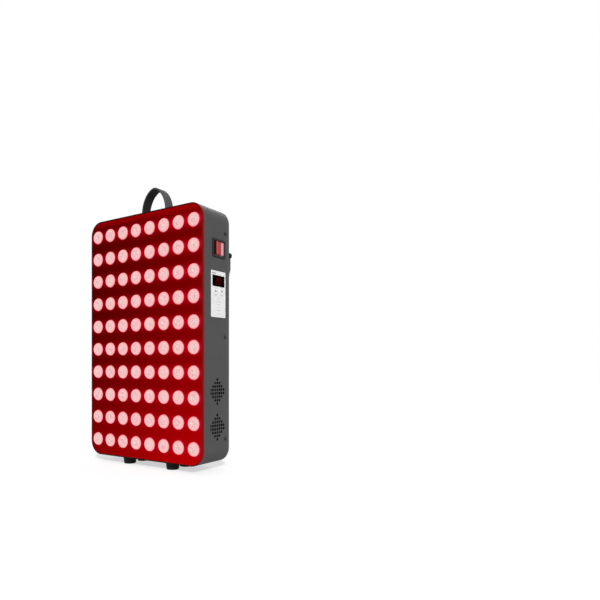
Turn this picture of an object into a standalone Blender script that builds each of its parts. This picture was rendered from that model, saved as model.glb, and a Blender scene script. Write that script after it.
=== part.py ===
"""A red light therapy panel as an assembly of separate pieces.

A sheet-metal case holds a perforated face plate, lens plates, lamp boards and a finned heat sink.
A rear cover carries two fans, the lamp driver, the power inlet and two hanger lugs. A rocker switch
and a control plate sit in the case's right side, a strap handle on its top and rubber feet below.

Metres, +Z up. The face looks towards -Y, the controls are on the +X side, the feet stand on Z = 0,
and the origin is on the floor under the middle of the panel's whole depth.
"""

import math

import bmesh
import bpy
from mathutils import Euler, Matrix, Vector

# Fits and overruns shared by all pieces
FIT_GAP = 0.0003
CUT_OVERRUN = 0.003
JOIN_SINK = 0.0005
SCREW_HOLE_GAP = 0.0004
WELD_DISTANCE = 0.00001
CORNER_STEPS = 3
ROUNDING_SEGMENTS = 2
ROUNDED_ANGLE = math.radians(40)
WIRE_ROUNDNESS = 1
HALF_TURN = math.pi
QUARTER_TURN = math.pi / 2
EIGHTH_TURN = math.pi / 4
FULL_TURN = 2 * math.pi

# Case: a wrapped sheet-metal band, open at the back
CASE_WIDTH = 0.234
CASE_HEIGHT = 0.375
CASE_DEPTH = 0.064
CASE_CORNER_RADIUS = 0.022
CASE_WALL = 0.0015
LIP_WIDTH = 0.003
LIP_THICKNESS = 0.0015
CASE_CORNER_STEPS = 6

# Face plate and lamps
FACE_INSET = 0.0003
FACE_THICKNESS = 0.002
LENS_COLUMNS = 8
LENS_PLATES = 5
ROWS_PER_PLATE = 2
LENS_RADIUS = 0.010
LENS_REACH = 0.0025
LENS_CROWN_RADIUS = 0.0076
LENS_SHOULDER = 0.0006
LENS_SIDES = 10
LENS_WEB_THICKNESS = 0.0018
LENS_WEB_MARGIN = 0.00175
LENS_END_MARGIN = 0.0085
LAMP_WIDTH = 0.0035
LAMP_HEIGHT = 0.0007
BOARD_THICKNESS = 0.0016

# Heat sink
SINK_BASE = 0.003
SINK_END_CLEARANCE = 0.0005
FIN_COUNT = 17
FIN_THICKNESS = 0.0016

# Rear cover: a shallow tray with bent tabs inside the case wall
RIM_DEPTH = 0.007
RIM_ROUNDING = 0.003
RIM_SHARP_ANGLE = math.radians(60)
COVER_WALL = 0.0015
TAB_HEIGHT = 0.016
TAB_REACH = 0.010

# Side screws: one pair above the switch, one below the control plate and one near the case's underside
SIDE_SCREW_SWITCH_GAP = 0.0114
SIDE_SCREW_PLATE_GAP = 0.0271
SIDE_SCREW_BOTTOM_GAP = 0.0359
SIDE_SCREW_SEAM_GAP = 0.0046
SIDE_SCREW_HEAD_RADIUS = 0.0029
SIDE_SCREW_HEAD_HEIGHT = 0.0016
SIDE_SCREW_RADIUS = 0.0015
SIDE_SCREW_LENGTH = 0.006

# Vents: two diamonds of round holes through the right side wall
VENT_SEAM_GAP = 0.0235
VENT_HEIGHTS = (0.1057, 0.0541)
VENT_HOLE_RADIUS = 0.0014
VENT_PITCH = 0.005
VENT_ROW_COUNTS = (1, 3, 5, 7, 7, 5, 3, 1)
VENT_SIDES = 6

# Fans on the rear cover
FAN_END_DISTANCE = 0.105
FAN_SIZE = 0.080
FAN_THICKNESS = 0.025
FAN_CORNER_RADIUS = 0.006
FAN_BORE_WALL = 0.002
FAN_BORE_SIDES = 20
FAN_SCREW_MARGIN = 0.00425
FAN_SCREW_RADIUS = 0.002
FAN_SCREW_HEAD_RADIUS = 0.0036
FAN_SCREW_HEAD_HEIGHT = 0.0022
FAN_SCREW_LENGTH = 0.010
FAN_MOTOR_RADIUS = 0.0165
FAN_MOTOR_THICKNESS = 0.004
FAN_STRUT_WIDTH = 0.004
FAN_STRUTS = 4
FAN_HUB_THICKNESS = 0.017
FAN_HUB_ROUNDING = 0.0015
FAN_BLADES = 7
FAN_BLADE_TIP_GAP = 0.0012
FAN_BLADE_CHORD = 0.020
FAN_BLADE_THICKNESS = 0.0012
FAN_BLADE_PITCH = math.radians(36)
FAN_BLADE_CAMBER = 0.0016
FAN_BLADE_CHORD_STEPS = 3
FAN_BLADE_SPAN_STEPS = 2
GUARD_RINGS = 3
GUARD_RING_PITCH = 0.0115
GUARD_RIM_MARGIN = 0.0015
GUARD_BAR = 0.0018
GUARD_EYE_RADIUS = 0.0042
GUARD_THICKNESS = 0.0018
GUARD_SLOT_STEPS = 4
QUADRANTS = 4

# Lamp driver, on the rear cover between the fans and the left wall
DRIVER_SIDE_GAP = 0.0095
DRIVER_FAN_GAP = 0.006
DRIVER_THICKNESS = 0.028
DRIVER_TOP_GAP = 0.080
DRIVER_BOTTOM_GAP = 0.095
DRIVER_ROUNDING = 0.002

# Power inlet with three pins, on the rear cover
INLET_SIDE_GAP = 0.016
INLET_HEIGHT = 0.045
INLET_FLANGE = (0.050, 0.0245)
INLET_FLANGE_THICKNESS = 0.003
INLET_FLANGE_RADIUS = 0.004
INLET_BODY = (0.0272, 0.0200)
INLET_BODY_DEPTH = 0.020
INLET_BODY_WALL = 0.0016
INLET_RECESS_DEPTH = 0.016
INLET_PIN = (0.002, 0.004)
INLET_PIN_LENGTH = 0.013
INLET_PIN_SPREAD = 0.007
INLET_PIN_DROP = 0.002
TERMINAL_BLADE = (0.0063, 0.0008)
TERMINAL_LENGTH = 0.007

# Rocker switch in the right side
SWITCH_SEAM_GAP = 0.006
SWITCH_TOP_GAP = 0.04875
SWITCH_SINK_GAP = 0.0026
BEZEL_SIZE = (0.0295, 0.0263)
BEZEL_THICKNESS = 0.0015
BEZEL_CORNER_RADIUS = 0.0012
BEZEL_END_LIP = 0.00175
BEZEL_SIDE_LIP = 0.00165
SWITCH_BODY_DEPTH = 0.019
ROCKER_END_ROOM = 0.0020
ROCKER_SIDE_ROOM = 0.0019
ROCKER_TILT = math.radians(7)
ROCKER_THROAT = 0.0026
ROCKER_SKIRT = 0.0020
ROCKER_BELLY = 0.0055
ROCKER_BELLY_WIDTH = 0.009
ROCKER_SINK = 0.0002
ROCKER_CLEARANCE = 0.0007
SWITCH_WELL_DEPTH = 0.0098
SWITCH_TERMINAL_SPREAD = 0.007

# Control plate in the right side
PLATE_SIZE = (0.0334, 0.0669)
PLATE_SEAM_GAP = 0.0052
PLATE_SWITCH_GAP = 0.0201
PLATE_THICKNESS = 0.0008
PLATE_CORNER_RADIUS = 0.0015
WINDOW_SIDE_MARGIN = 0.00225
WINDOW_TOP_MARGIN = 0.00625
WINDOW_RISE = 0.0162
BUTTON_WINDOW_GAP = 0.0009
BUTTON_FLANGE_GAP = 0.0012
BUTTON_RADIUS = 0.0057
BUTTON_STAND = 0.0007
BUTTON_FLANGE_STEP = 0.0009
BUTTON_FLANGE_THICKNESS = 0.0008
BUTTON_STEM_RADIUS = 0.002
BUTTON_STEM_LENGTH = 0.0035
BUTTON_TRAVEL = 0.0005
BUTTON_SIDES = 16
CONTROL_BOARD_SIZE = (0.0280, 0.041)
CONTROL_BOARD_LIFT = 0.01075
CONTROL_BOARD_STANDOFF = 0.009
POST_RADIUS = 0.0016
POST_EDGE_MARGIN = 0.0018
KEY_SIZE = 0.006

# Strap handle on the top
STRAP_WIDTH = 0.0165
STRAP_THICKNESS = 0.003
STRAP_ARCH_HALF_WIDTH = 0.0262
STRAP_ARCH_HEIGHT = 0.0445
STRAP_ARCH_POWER = 1.15
STRAP_KNEE_RADIUS = 0.005
STRAP_ARCH_STEPS = 18
STRAP_KNEE_STEPS = 4
CAP_INNER_END = 0.034
CAP_OUTER_END = 0.076
CAP_WIDTH = 0.0215
CAP_HEIGHT = 0.0085
CAP_ROUNDING = 0.0025
CAP_END_WALL = 0.003
HANDLE_SCREW_RADIUS = 0.002
HANDLE_SCREW_HEAD_RADIUS = 0.0038
HANDLE_SCREW_HEAD_HEIGHT = 0.0022
HANDLE_SCREW_LENGTH = 0.014

# Rubber feet with a screw up through each
FOOT_HEIGHT = 0.011
FOOT_TOP_RADIUS = 0.0105
FOOT_BOTTOM_RADIUS = 0.0092
FOOT_SIDES = 16
FOOT_SPACING_X = 0.091
FOOT_SPACING_Y = 0.029
FOOT_WELL_RADIUS = 0.0045
FOOT_WELL_DEPTH = 0.006
FOOT_SCREW_RADIUS = 0.002
FOOT_SCREW_HEAD_RADIUS = 0.0036
FOOT_SCREW_HEAD_HEIGHT = 0.0022
FOOT_SCREW_LENGTH = 0.012

# Hanger lugs and rubber bumpers behind the rear edges
LUG_INSET = 0.002
LUG_THICKNESS = 0.0025
LUG_REACH = 0.0045
LUG_TOP_GAP = 0.0711
LUG_HEIGHT = 0.027
LUG_TAPER = 0.010
LUG_LEG_WIDTH = 0.018
BUMPER_RADIUS = 0.0045
BUMPER_REACH = 0.0087
BUMPER_ROUNDING = 0.0008

# Wires inside the case
WIRE_RADIUS = 0.0018
WIRE_BEND = 0.009
WIRE_PAD_RISE = 0.0045
WIRE_DROP_GAP = 0.00545
WIRE_TURN_GAP = 0.003
WIRE_CONTROL_STEPS = 4

SCREW_SIDES = 8
BUMPER_SIDES = 16

# Places that follow from the sizes above: depths count back from the case's front edge
CASE_BOTTOM = FOOT_HEIGHT + FIT_GAP
CASE_TOP = CASE_BOTTOM + CASE_HEIGHT
CASE_MIDDLE = CASE_BOTTOM + CASE_HEIGHT / 2
CASE_SIDE = CASE_WIDTH / 2
CASE_FRONT = -(CASE_DEPTH + BUMPER_REACH - LENS_REACH) / 2
CASE_CENTRE_Y = CASE_FRONT + CASE_DEPTH / 2
SEAM_DEPTH = CASE_DEPTH - RIM_DEPTH
INNER_HALF = CASE_SIDE - CASE_WALL
LENS_ROWS = LENS_PLATES * ROWS_PER_PLATE
WINDOW_INSET = CASE_WALL + LIP_WIDTH
LENS_SIDE_MARGIN = WINDOW_INSET + FIT_GAP + LENS_WEB_MARGIN + LENS_RADIUS
COLUMN_PITCH = (CASE_WIDTH - 2 * LENS_SIDE_MARGIN) / (LENS_COLUMNS - 1)
ROW_PITCH = (CASE_HEIGHT - 2 * (LENS_SIDE_MARGIN + LENS_END_MARGIN)) / (LENS_ROWS - 1)
FACE_BACK = FACE_INSET + FACE_THICKNESS
WEB_FRONT = FACE_BACK + FIT_GAP
LAMP_FRONT = WEB_FRONT + LENS_WEB_THICKNESS + FIT_GAP
BOARD_FRONT = LAMP_FRONT + LAMP_HEIGHT
SINK_FRONT = BOARD_FRONT + BOARD_THICKNESS + FIT_GAP
COVER_INSIDE = CASE_DEPTH - COVER_WALL
LAMP_FIELD_WIDTH = CASE_WIDTH - 2 * (WINDOW_INSET + FIT_GAP)
LAMP_FIELD_HEIGHT = CASE_HEIGHT - 2 * (WINDOW_INSET + FIT_GAP + LENS_END_MARGIN)
PLATE_BACK = CASE_SIDE + FIT_GAP
BEZEL_BACK = CASE_SIDE + FIT_GAP
BEZEL_FACE = BEZEL_BACK + BEZEL_THICKNESS
SWITCH_BODY = (BEZEL_SIZE[0] - 2 * BEZEL_END_LIP, BEZEL_SIZE[1] - 2 * BEZEL_SIDE_LIP)
ROCKER_LENGTH = SWITCH_BODY[0] - 2 * ROCKER_END_ROOM
ROCKER_HEIGHT = SWITCH_BODY[1] - 2 * ROCKER_SIDE_ROOM
SWITCH_DEPTH = SEAM_DEPTH - SWITCH_SEAM_GAP - BEZEL_SIZE[0] / 2
SWITCH_HEIGHT = CASE_HEIGHT - SWITCH_TOP_GAP - BEZEL_SIZE[1] / 2
FIN_HEIGHT = SWITCH_DEPTH - SWITCH_BODY[0] / 2 - SWITCH_SINK_GAP - SINK_FRONT - SINK_BASE
PLATE_DEPTH = SEAM_DEPTH - PLATE_SEAM_GAP - PLATE_SIZE[0] / 2
PLATE_HEIGHT = SWITCH_HEIGHT - BEZEL_SIZE[1] / 2 - PLATE_SWITCH_GAP - PLATE_SIZE[1] / 2
WINDOW_SIZE = (PLATE_SIZE[0] - 2 * WINDOW_SIDE_MARGIN, WINDOW_RISE)
WINDOW_HEIGHT = PLATE_HEIGHT + PLATE_SIZE[1] / 2 - WINDOW_TOP_MARGIN - WINDOW_RISE / 2
BUTTON_HEIGHT = WINDOW_HEIGHT - WINDOW_RISE / 2 - BUTTON_WINDOW_GAP - BUTTON_RADIUS
BUTTON_SPACING = 2 * (BUTTON_RADIUS + BUTTON_FLANGE_STEP) + BUTTON_FLANGE_GAP
CONTROL_BOARD_HEIGHT = PLATE_HEIGHT + CONTROL_BOARD_LIFT
SIDE_SCREW_DEPTH = SEAM_DEPTH - SIDE_SCREW_SEAM_GAP
SIDE_SCREW_HEIGHTS = {
    "upper": SWITCH_HEIGHT + BEZEL_SIZE[1] / 2 + SIDE_SCREW_SWITCH_GAP,
    "middle": PLATE_HEIGHT - PLATE_SIZE[1] / 2 - SIDE_SCREW_PLATE_GAP,
    "lower": SIDE_SCREW_BOTTOM_GAP,
}
VENT_DEPTH = SEAM_DEPTH - VENT_SEAM_GAP
FAN_HEIGHTS = {"upper": CASE_HEIGHT - FAN_END_DISTANCE, "lower": FAN_END_DISTANCE}
FAN_BORE_RADIUS = FAN_SIZE / 2 - FAN_BORE_WALL
FAN_SCREW_SPACING = FAN_SIZE - 2 * FAN_SCREW_MARGIN
GUARD_RIM_RADIUS = FAN_BORE_RADIUS - GUARD_RIM_MARGIN
GUARD_RING_RADII = [GUARD_RIM_RADIUS - ring * GUARD_RING_PITCH for ring in reversed(range(GUARD_RINGS))]
DRIVER_WIDTH = INNER_HALF - DRIVER_SIDE_GAP - FAN_SIZE / 2 - DRIVER_FAN_GAP
DRIVER_LENGTH = CASE_HEIGHT - DRIVER_TOP_GAP - DRIVER_BOTTOM_GAP
DRIVER_SIZE = (DRIVER_WIDTH, DRIVER_THICKNESS, DRIVER_LENGTH)
DRIVER_CENTRE_X = -(FAN_SIZE / 2 + DRIVER_FAN_GAP + DRIVER_WIDTH / 2)
DRIVER_HEIGHT = DRIVER_BOTTOM_GAP + DRIVER_LENGTH / 2
INLET_X = CASE_SIDE - INLET_SIDE_GAP - INLET_FLANGE[0] / 2
INLET_RECESS = [side - 2 * INLET_BODY_WALL for side in INLET_BODY]
LUG_TOP = CASE_HEIGHT - LUG_TOP_GAP
LUG_BOTTOM = LUG_TOP - LUG_HEIGHT

parts = bpy.data.collections.new("red_light_panel")
cutters = bpy.data.collections.new("cutters")


def clear_scene():
    for item in list(bpy.data.objects):
        bpy.data.objects.remove(item, do_unlink=True)
    for collection in (parts, cutters):
        bpy.context.scene.collection.children.link(collection)


def depth_to_y(depth):
    """World Y of a depth behind the case's front edge."""
    return CASE_FRONT + depth


def height_to_z(height):
    """World Z of a height above the case's underside."""
    return CASE_BOTTOM + height


# Materials: the part's own colours
def material(name, colour, roughness, metallic=0.0):
    made = bpy.data.materials.new(name)
    made.use_nodes = True
    shader = made.node_tree.nodes["Principled BSDF"]
    shader.inputs["Base Color"].default_value = (*colour, 1.0)
    shader.inputs["Roughness"].default_value = roughness
    shader.inputs["Metallic"].default_value = metallic
    made.diffuse_color = (*colour, 1.0)
    return made


def finish(piece, name, colour, roughness, metallic=0.0):
    """Names the piece, gives it its own material and files it with the parts."""
    piece.name = name
    piece.data.name = name
    piece.data.materials.clear()
    piece.data.materials.append(material(name, colour, roughness, metallic))
    if piece.name not in parts.objects:
        parts.objects.link(piece)
    return piece


POWDER_GREY = (0.088, 0.088, 0.088)
SHEET_GREY = (0.070, 0.070, 0.072)
LIT_RED = (0.42, 0.0, 0.006)
LENS_PINK = (1.0, 0.50, 0.50)
BOARD_WHITE = (0.75, 0.75, 0.72)
BARE_ALUMINIUM = (0.60, 0.61, 0.62)
BLACK_PLASTIC = (0.012, 0.012, 0.013)
RUBBER_BLACK = (0.008, 0.008, 0.008)
SCREW_DARK = (0.03, 0.03, 0.032)
SCREW_STEEL = (0.45, 0.45, 0.46)
WHITE_PLASTIC = (0.86, 0.87, 0.90)
ROCKER_RED = (0.60, 0.020, 0.015)
SMOKED_RED = (0.020, 0.001, 0.001)
BOARD_GREEN = (0.010, 0.075, 0.030)
WIRE_BLACK = (0.015, 0.015, 0.015)


# Modelling helpers
FACINGS = {
    "up": Euler((0, 0, 0)),
    "down": Euler((HALF_TURN, 0, 0)),
    "front": Euler((QUARTER_TURN, 0, 0)),
    "back": Euler((QUARTER_TURN, 0, HALF_TURN)),
    "right": Euler((QUARTER_TURN, 0, QUARTER_TURN)),
    "left": Euler((QUARTER_TURN, 0, -QUARTER_TURN)),
}


def place(piece, centre, facing="up"):
    """Puts the piece at centre, with its own +Z turned to the side that it faces."""
    piece.location = centre
    piece.rotation_euler = FACINGS[facing]
    return piece


def holder(mesh, name="shape"):
    made = bpy.data.objects.new(name, mesh)
    parts.objects.link(made)
    return made


def as_tool(piece):
    """Files a shape that only cuts or joins others."""
    parts.objects.unlink(piece)
    cutters.objects.link(piece)
    piece.name = "tool"
    piece.hide_render = True
    piece.display_type = "WIRE"
    return piece


def boolean(piece, tool, operation):
    step = piece.modifiers.new(operation.lower(), "BOOLEAN")
    step.operation = operation
    step.solver = "EXACT"
    step.object = tool
    return piece


def cut(piece, tool):
    return boolean(piece, as_tool(tool), "DIFFERENCE")


def join(piece, tool):
    return boolean(piece, as_tool(tool), "UNION")


def round_edges(piece, width):
    bevel = piece.modifiers.new("rounding", "BEVEL")
    bevel.width = width
    bevel.segments = ROUNDING_SEGMENTS
    bevel.limit_method = "ANGLE"
    bevel.angle_limit = ROUNDED_ANGLE
    return piece


def evaluated_mesh(piece):
    """The piece's mesh with its modifiers worked in and its loose edges welded."""
    bpy.context.view_layer.update()
    graph = bpy.context.evaluated_depsgraph_get()
    mesh = bpy.data.meshes.new_from_object(piece.evaluated_get(graph), depsgraph=graph)
    work = bmesh.new()
    work.from_mesh(mesh)
    bmesh.ops.remove_doubles(work, verts=work.verts, dist=WELD_DISTANCE)
    bmesh.ops.recalc_face_normals(work, faces=work.faces)
    work.to_mesh(mesh)
    work.free()
    return mesh


def settled(piece):
    """The piece as a plain mesh, so that copies can share it."""
    mesh = evaluated_mesh(piece)
    for tool in [step.object for step in piece.modifiers if step.type == "BOOLEAN"]:
        bpy.data.objects.remove(tool, do_unlink=True)
    made = holder(mesh)
    made.matrix_world = piece.matrix_world.copy()
    bpy.data.objects.remove(piece, do_unlink=True)
    return made


def box(size, centre):
    work = bmesh.new()
    bmesh.ops.create_cube(work, size=1.0, matrix=Matrix.Diagonal((*size, 1.0)))
    mesh = bpy.data.meshes.new("box")
    work.to_mesh(mesh)
    work.free()
    return place(holder(mesh), centre)


def rod(radius, length, sides, centre, facing):
    """A cylinder centred on its place, with its axis along the way it faces."""
    work = bmesh.new()
    bmesh.ops.create_cone(work, cap_ends=True, segments=sides, radius1=radius, radius2=radius, depth=length)
    mesh = bpy.data.meshes.new("rod")
    work.to_mesh(mesh)
    work.free()
    return place(holder(mesh), centre, facing)


def arc(centre, radius, start, end, steps):
    """Points along an arc, both ends included."""
    angles = [start + (end - start) * step / steps for step in range(steps + 1)]
    return [(centre[0] + radius * math.cos(a), centre[1] + radius * math.sin(a)) for a in angles]


def rounded_rectangle(width, height, radius, steps=CORNER_STEPS, centre=(0, 0)):
    across = width / 2 - radius
    along = height / 2 - radius
    points = []
    for turn, (sx, sy) in enumerate(((1, 1), (-1, 1), (-1, -1), (1, -1))):
        middle = (centre[0] + sx * across, centre[1] + sy * along)
        points += arc(middle, radius, turn * QUARTER_TURN, (turn + 1) * QUARTER_TURN, steps)
    return points


def circle(radius, sides, centre=(0, 0)):
    return arc(centre, radius, 0, FULL_TURN * (sides - 1) / sides, sides - 1)


def slab(outlines, thickness, centre, facing):
    """A flat piece: the first outline is its edge and the others are its holes."""
    curve = bpy.data.curves.new("outline", "CURVE")
    curve.dimensions = "2D"
    curve.fill_mode = "BOTH"
    curve.extrude = thickness / 2
    for outline in outlines:
        spline = curve.splines.new("POLY")
        spline.points.add(len(outline) - 1)
        for point, (x, y) in zip(spline.points, outline):
            point.co = (x, y, 0, 1)
        spline.use_cyclic_u = True
    flat = bpy.data.objects.new("outline", curve)
    parts.objects.link(flat)
    mesh = evaluated_mesh(flat)
    bpy.data.objects.remove(flat, do_unlink=True)
    return place(holder(mesh), centre, facing)


def turned(profile, sides, centre, facing):
    """A turned piece, from (radius, height) points that run down its outer side."""
    mesh = bpy.data.meshes.new("profile")
    points = [(radius, 0, height) for radius, height in profile]
    edges = [(i, i + 1) for i in range(len(points) - 1)]
    if profile[0][0] > 0:
        edges.append((len(points) - 1, 0))
    mesh.from_pydata(points, edges, [])
    piece = holder(mesh)
    screw = piece.modifiers.new("turning", "SCREW")
    screw.steps = sides
    screw.render_steps = sides
    screw.use_merge_vertices = True
    screw.merge_threshold = WELD_DISTANCE
    return place(settled(piece), centre, facing)


def wire(points, radius):
    """A round wire through the points, as a welded mesh."""
    curve = bpy.data.curves.new("wire", "CURVE")
    curve.dimensions = "3D"
    curve.bevel_depth = radius
    curve.bevel_resolution = WIRE_ROUNDNESS
    curve.use_fill_caps = True
    spline = curve.splines.new("POLY")
    spline.points.add(len(points) - 1)
    for point, place_on in zip(spline.points, points):
        point.co = (*place_on, 1)
    piece = bpy.data.objects.new("wire", curve)
    parts.objects.link(piece)
    return settled(piece)


def screw(head_radius, head_height, shank_radius, length):
    """A pan-head screw whose head sits on Z = 0 and whose shank runs down."""
    crown = head_radius - head_height / 2
    profile = [
        (0, head_height),
        (crown, head_height),
        (head_radius, head_height / 2),
        (head_radius, 0),
        (shank_radius, 0),
        (shank_radius, -length),
        (0, -length),
    ]
    return turned(profile, SCREW_SIDES, (0, 0, 0), "up")


def screw_hole(radius, length, centre, facing):
    return rod(radius + SCREW_HOLE_GAP, length, SCREW_SIDES, centre, facing)


# Case shell: the band, its front lip and the holes through its walls
def case_outline(inset):
    return rounded_rectangle(
        CASE_WIDTH - 2 * inset, CASE_HEIGHT - 2 * inset, CASE_CORNER_RADIUS - inset, CASE_CORNER_STEPS
    )


def side_screw_places():
    for side, facing in ((1, "right"), (-1, "left")):
        for label, height in SIDE_SCREW_HEIGHTS.items():
            spot = Vector((side * CASE_SIDE, depth_to_y(SIDE_SCREW_DEPTH), height_to_z(height)))
            yield f"side_screw_{facing}_{label}", spot, facing, side


def foot_places():
    for row, y_side in (("front", -1), ("rear", 1)):
        for side, x_side in (("left", -1), ("right", 1)):
            yield f"{row}_{side}", x_side * FOOT_SPACING_X / 2, CASE_CENTRE_Y + y_side * FOOT_SPACING_Y / 2


def handle_screw_places():
    reach = (CAP_INNER_END + CAP_OUTER_END) / 2
    for side, x_side in (("left", -1), ("right", 1)):
        yield side, x_side * reach


def vent_holes():
    """One mesh of all the vent holes in the right side wall."""
    work = bmesh.new()
    length = CASE_WALL + 2 * CUT_OVERRUN
    across = Matrix.Rotation(QUARTER_TURN, 4, "Y")
    for height in VENT_HEIGHTS:
        for row, count in enumerate(VENT_ROW_COUNTS):
            z = height_to_z(height) + ((len(VENT_ROW_COUNTS) - 1) / 2 - row) * VENT_PITCH
            for hole in range(count):
                y = depth_to_y(VENT_DEPTH) + (hole - (count - 1) / 2) * VENT_PITCH
                bmesh.ops.create_cone(
                    work,
                    cap_ends=True,
                    segments=VENT_SIDES,
                    radius1=VENT_HOLE_RADIUS,
                    radius2=VENT_HOLE_RADIUS,
                    depth=length,
                    matrix=Matrix.Translation((CASE_SIDE - CASE_WALL / 2, y, z)) @ across,
                )
    mesh = bpy.data.meshes.new("vent_holes")
    work.to_mesh(mesh)
    work.free()
    return holder(mesh)


def switch_cutout_size():
    return [side + 2 * FIT_GAP for side in SWITCH_BODY]


def control_cutout():
    """Depth and height limits of the opening behind the control plate."""
    flange = BUTTON_RADIUS + BUTTON_FLANGE_STEP
    half = BUTTON_SPACING / 2 + flange + 2 * FIT_GAP
    low = BUTTON_HEIGHT - flange - 2 * FIT_GAP
    high = WINDOW_HEIGHT + WINDOW_SIZE[1] / 2
    return PLATE_DEPTH - half, PLATE_DEPTH + half, low, high


def wall_cutter(depth_low, depth_high, height_low, height_high):
    """A block through the right side wall."""
    thickness = CASE_WALL + 2 * CUT_OVERRUN
    size = (thickness, depth_high - depth_low, height_high - height_low)
    centre = (
        CASE_SIDE - CASE_WALL / 2,
        depth_to_y((depth_low + depth_high) / 2),
        height_to_z((height_low + height_high) / 2),
    )
    return box(size, centre)


def build_case():
    length = SEAM_DEPTH - FIT_GAP
    middle = (0, depth_to_y(length / 2), CASE_MIDDLE)
    shell = slab([case_outline(0), case_outline(CASE_WALL)], length, middle, "front")
    lip_outlines = [case_outline(CASE_WALL - JOIN_SINK), case_outline(WINDOW_INSET)]
    lip_middle = (0, depth_to_y(WEB_FRONT + LIP_THICKNESS / 2), CASE_MIDDLE)
    join(shell, slab(lip_outlines, LIP_THICKNESS, lip_middle, "front"))
    cut(shell, vent_holes())
    width, height = switch_cutout_size()
    cut(
        shell,
        wall_cutter(
            SWITCH_DEPTH - width / 2, SWITCH_DEPTH + width / 2,
            SWITCH_HEIGHT - height / 2, SWITCH_HEIGHT + height / 2,
        ),
    )
    cut(shell, wall_cutter(*control_cutout()))
    through = CASE_WALL + 2 * CUT_OVERRUN
    for _, spot, facing, _ in side_screw_places():
        cut(shell, screw_hole(SIDE_SCREW_RADIUS, through, spot, facing))
    for _, x, y in foot_places():
        cut(shell, screw_hole(FOOT_SCREW_RADIUS, through, (x, y, CASE_BOTTOM), "up"))
    for _, x in handle_screw_places():
        cut(shell, screw_hole(HANDLE_SCREW_RADIUS, through, (x, CASE_CENTRE_Y, CASE_TOP), "up"))
    finish(shell, "case_shell", POWDER_GREY, 0.55)


# Face plate: the lens holes are cut in one outline
def lens_places(rows=range(LENS_ROWS)):
    """Centres of the lenses about the middle of the face, across and up."""
    for row in rows:
        for column in range(LENS_COLUMNS):
            x = (column - (LENS_COLUMNS - 1) / 2) * COLUMN_PITCH
            z = ((LENS_ROWS - 1) / 2 - row) * ROW_PITCH
            yield x, z


def build_face_plate():
    holes = [circle(LENS_RADIUS + FIT_GAP, LENS_SIDES, spot) for spot in lens_places()]
    outlines = [case_outline(CASE_WALL + FIT_GAP)] + holes
    middle = (0, depth_to_y(FACE_INSET + FACE_THICKNESS / 2), CASE_MIDDLE)
    plate = slab(outlines, FACE_THICKNESS, middle, "front")
    finish(plate, "face_plate", LIT_RED, 0.35)


# Lens plates: clear moulded webs, each with two rows of crowned lenses
def build_lens_plates():
    rows = range(ROWS_PER_PLATE)
    top_row = ((LENS_ROWS - 1) / 2) * ROW_PITCH
    plate_middle = top_row - (ROWS_PER_PLATE - 1) / 2 * ROW_PITCH
    web_height = (ROWS_PER_PLATE - 1) * ROW_PITCH + 2 * (LENS_RADIUS + LENS_WEB_MARGIN)
    edge = rounded_rectangle(LAMP_FIELD_WIDTH, web_height, LENS_RADIUS)
    web = slab([edge], LENS_WEB_THICKNESS, (0, 0, 0), "up")
    crown = WEB_FRONT + LENS_WEB_THICKNESS / 2 + LENS_REACH
    root = JOIN_SINK - LENS_WEB_THICKNESS / 2
    profile = [
        (0, crown),
        (LENS_CROWN_RADIUS, crown),
        (LENS_RADIUS, crown - LENS_REACH + LENS_SHOULDER),
        (LENS_RADIUS, root),
        (0, root),
    ]
    lenses = bmesh.new()
    for x, z in lens_places(rows):
        lens = turned(profile, LENS_SIDES, (x, z - plate_middle, 0), "up")
        bpy.context.view_layer.update()
        lens.data.transform(lens.matrix_world)
        lenses.from_mesh(lens.data)
        bpy.data.objects.remove(lens, do_unlink=True)
    mesh = bpy.data.meshes.new("lenses")
    lenses.to_mesh(mesh)
    lenses.free()
    join(web, holder(mesh))
    pattern = settled(web)
    for number in range(LENS_PLATES):
        plate = holder(pattern.data.copy())
        z = CASE_MIDDLE + plate_middle - number * ROWS_PER_PLATE * ROW_PITCH
        place(plate, (0, depth_to_y(WEB_FRONT + LENS_WEB_THICKNESS / 2), z), "front")
        finish(plate, f"lens_plate_{number + 1}", LENS_PINK, 0.15)
    bpy.data.objects.remove(pattern, do_unlink=True)


# Lamp boards: two halves, each with a lamp behind every lens
def build_lamp_boards():
    half_rows = LENS_ROWS // 2
    half_height = (LAMP_FIELD_HEIGHT - FIT_GAP) / 2
    for label, side, rows in (("upper", 1, range(half_rows)), ("lower", -1, range(half_rows, LENS_ROWS))):
        rise = side * (half_height + FIT_GAP) / 2
        edge = rounded_rectangle(LAMP_FIELD_WIDTH, half_height, LENS_RADIUS)
        centre = (0, depth_to_y(BOARD_FRONT + BOARD_THICKNESS / 2), CASE_MIDDLE + rise)
        board = slab([edge], BOARD_THICKNESS, centre, "front")
        lamps = bmesh.new()
        size = (LAMP_WIDTH, LAMP_HEIGHT + JOIN_SINK, LAMP_WIDTH)
        for x, z in lens_places(rows):
            spot = (x, depth_to_y(LAMP_FRONT + size[1] / 2), CASE_MIDDLE + z)
            lamp = Matrix.Translation(spot) @ Matrix.Diagonal((*size, 1.0))
            bmesh.ops.create_cube(lamps, size=1.0, matrix=lamp)
        mesh = bpy.data.meshes.new("lamps")
        lamps.to_mesh(mesh)
        lamps.free()
        join(board, holder(mesh))
        finish(board, f"lamp_board_{label}", BOARD_WHITE, 0.5)


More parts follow.
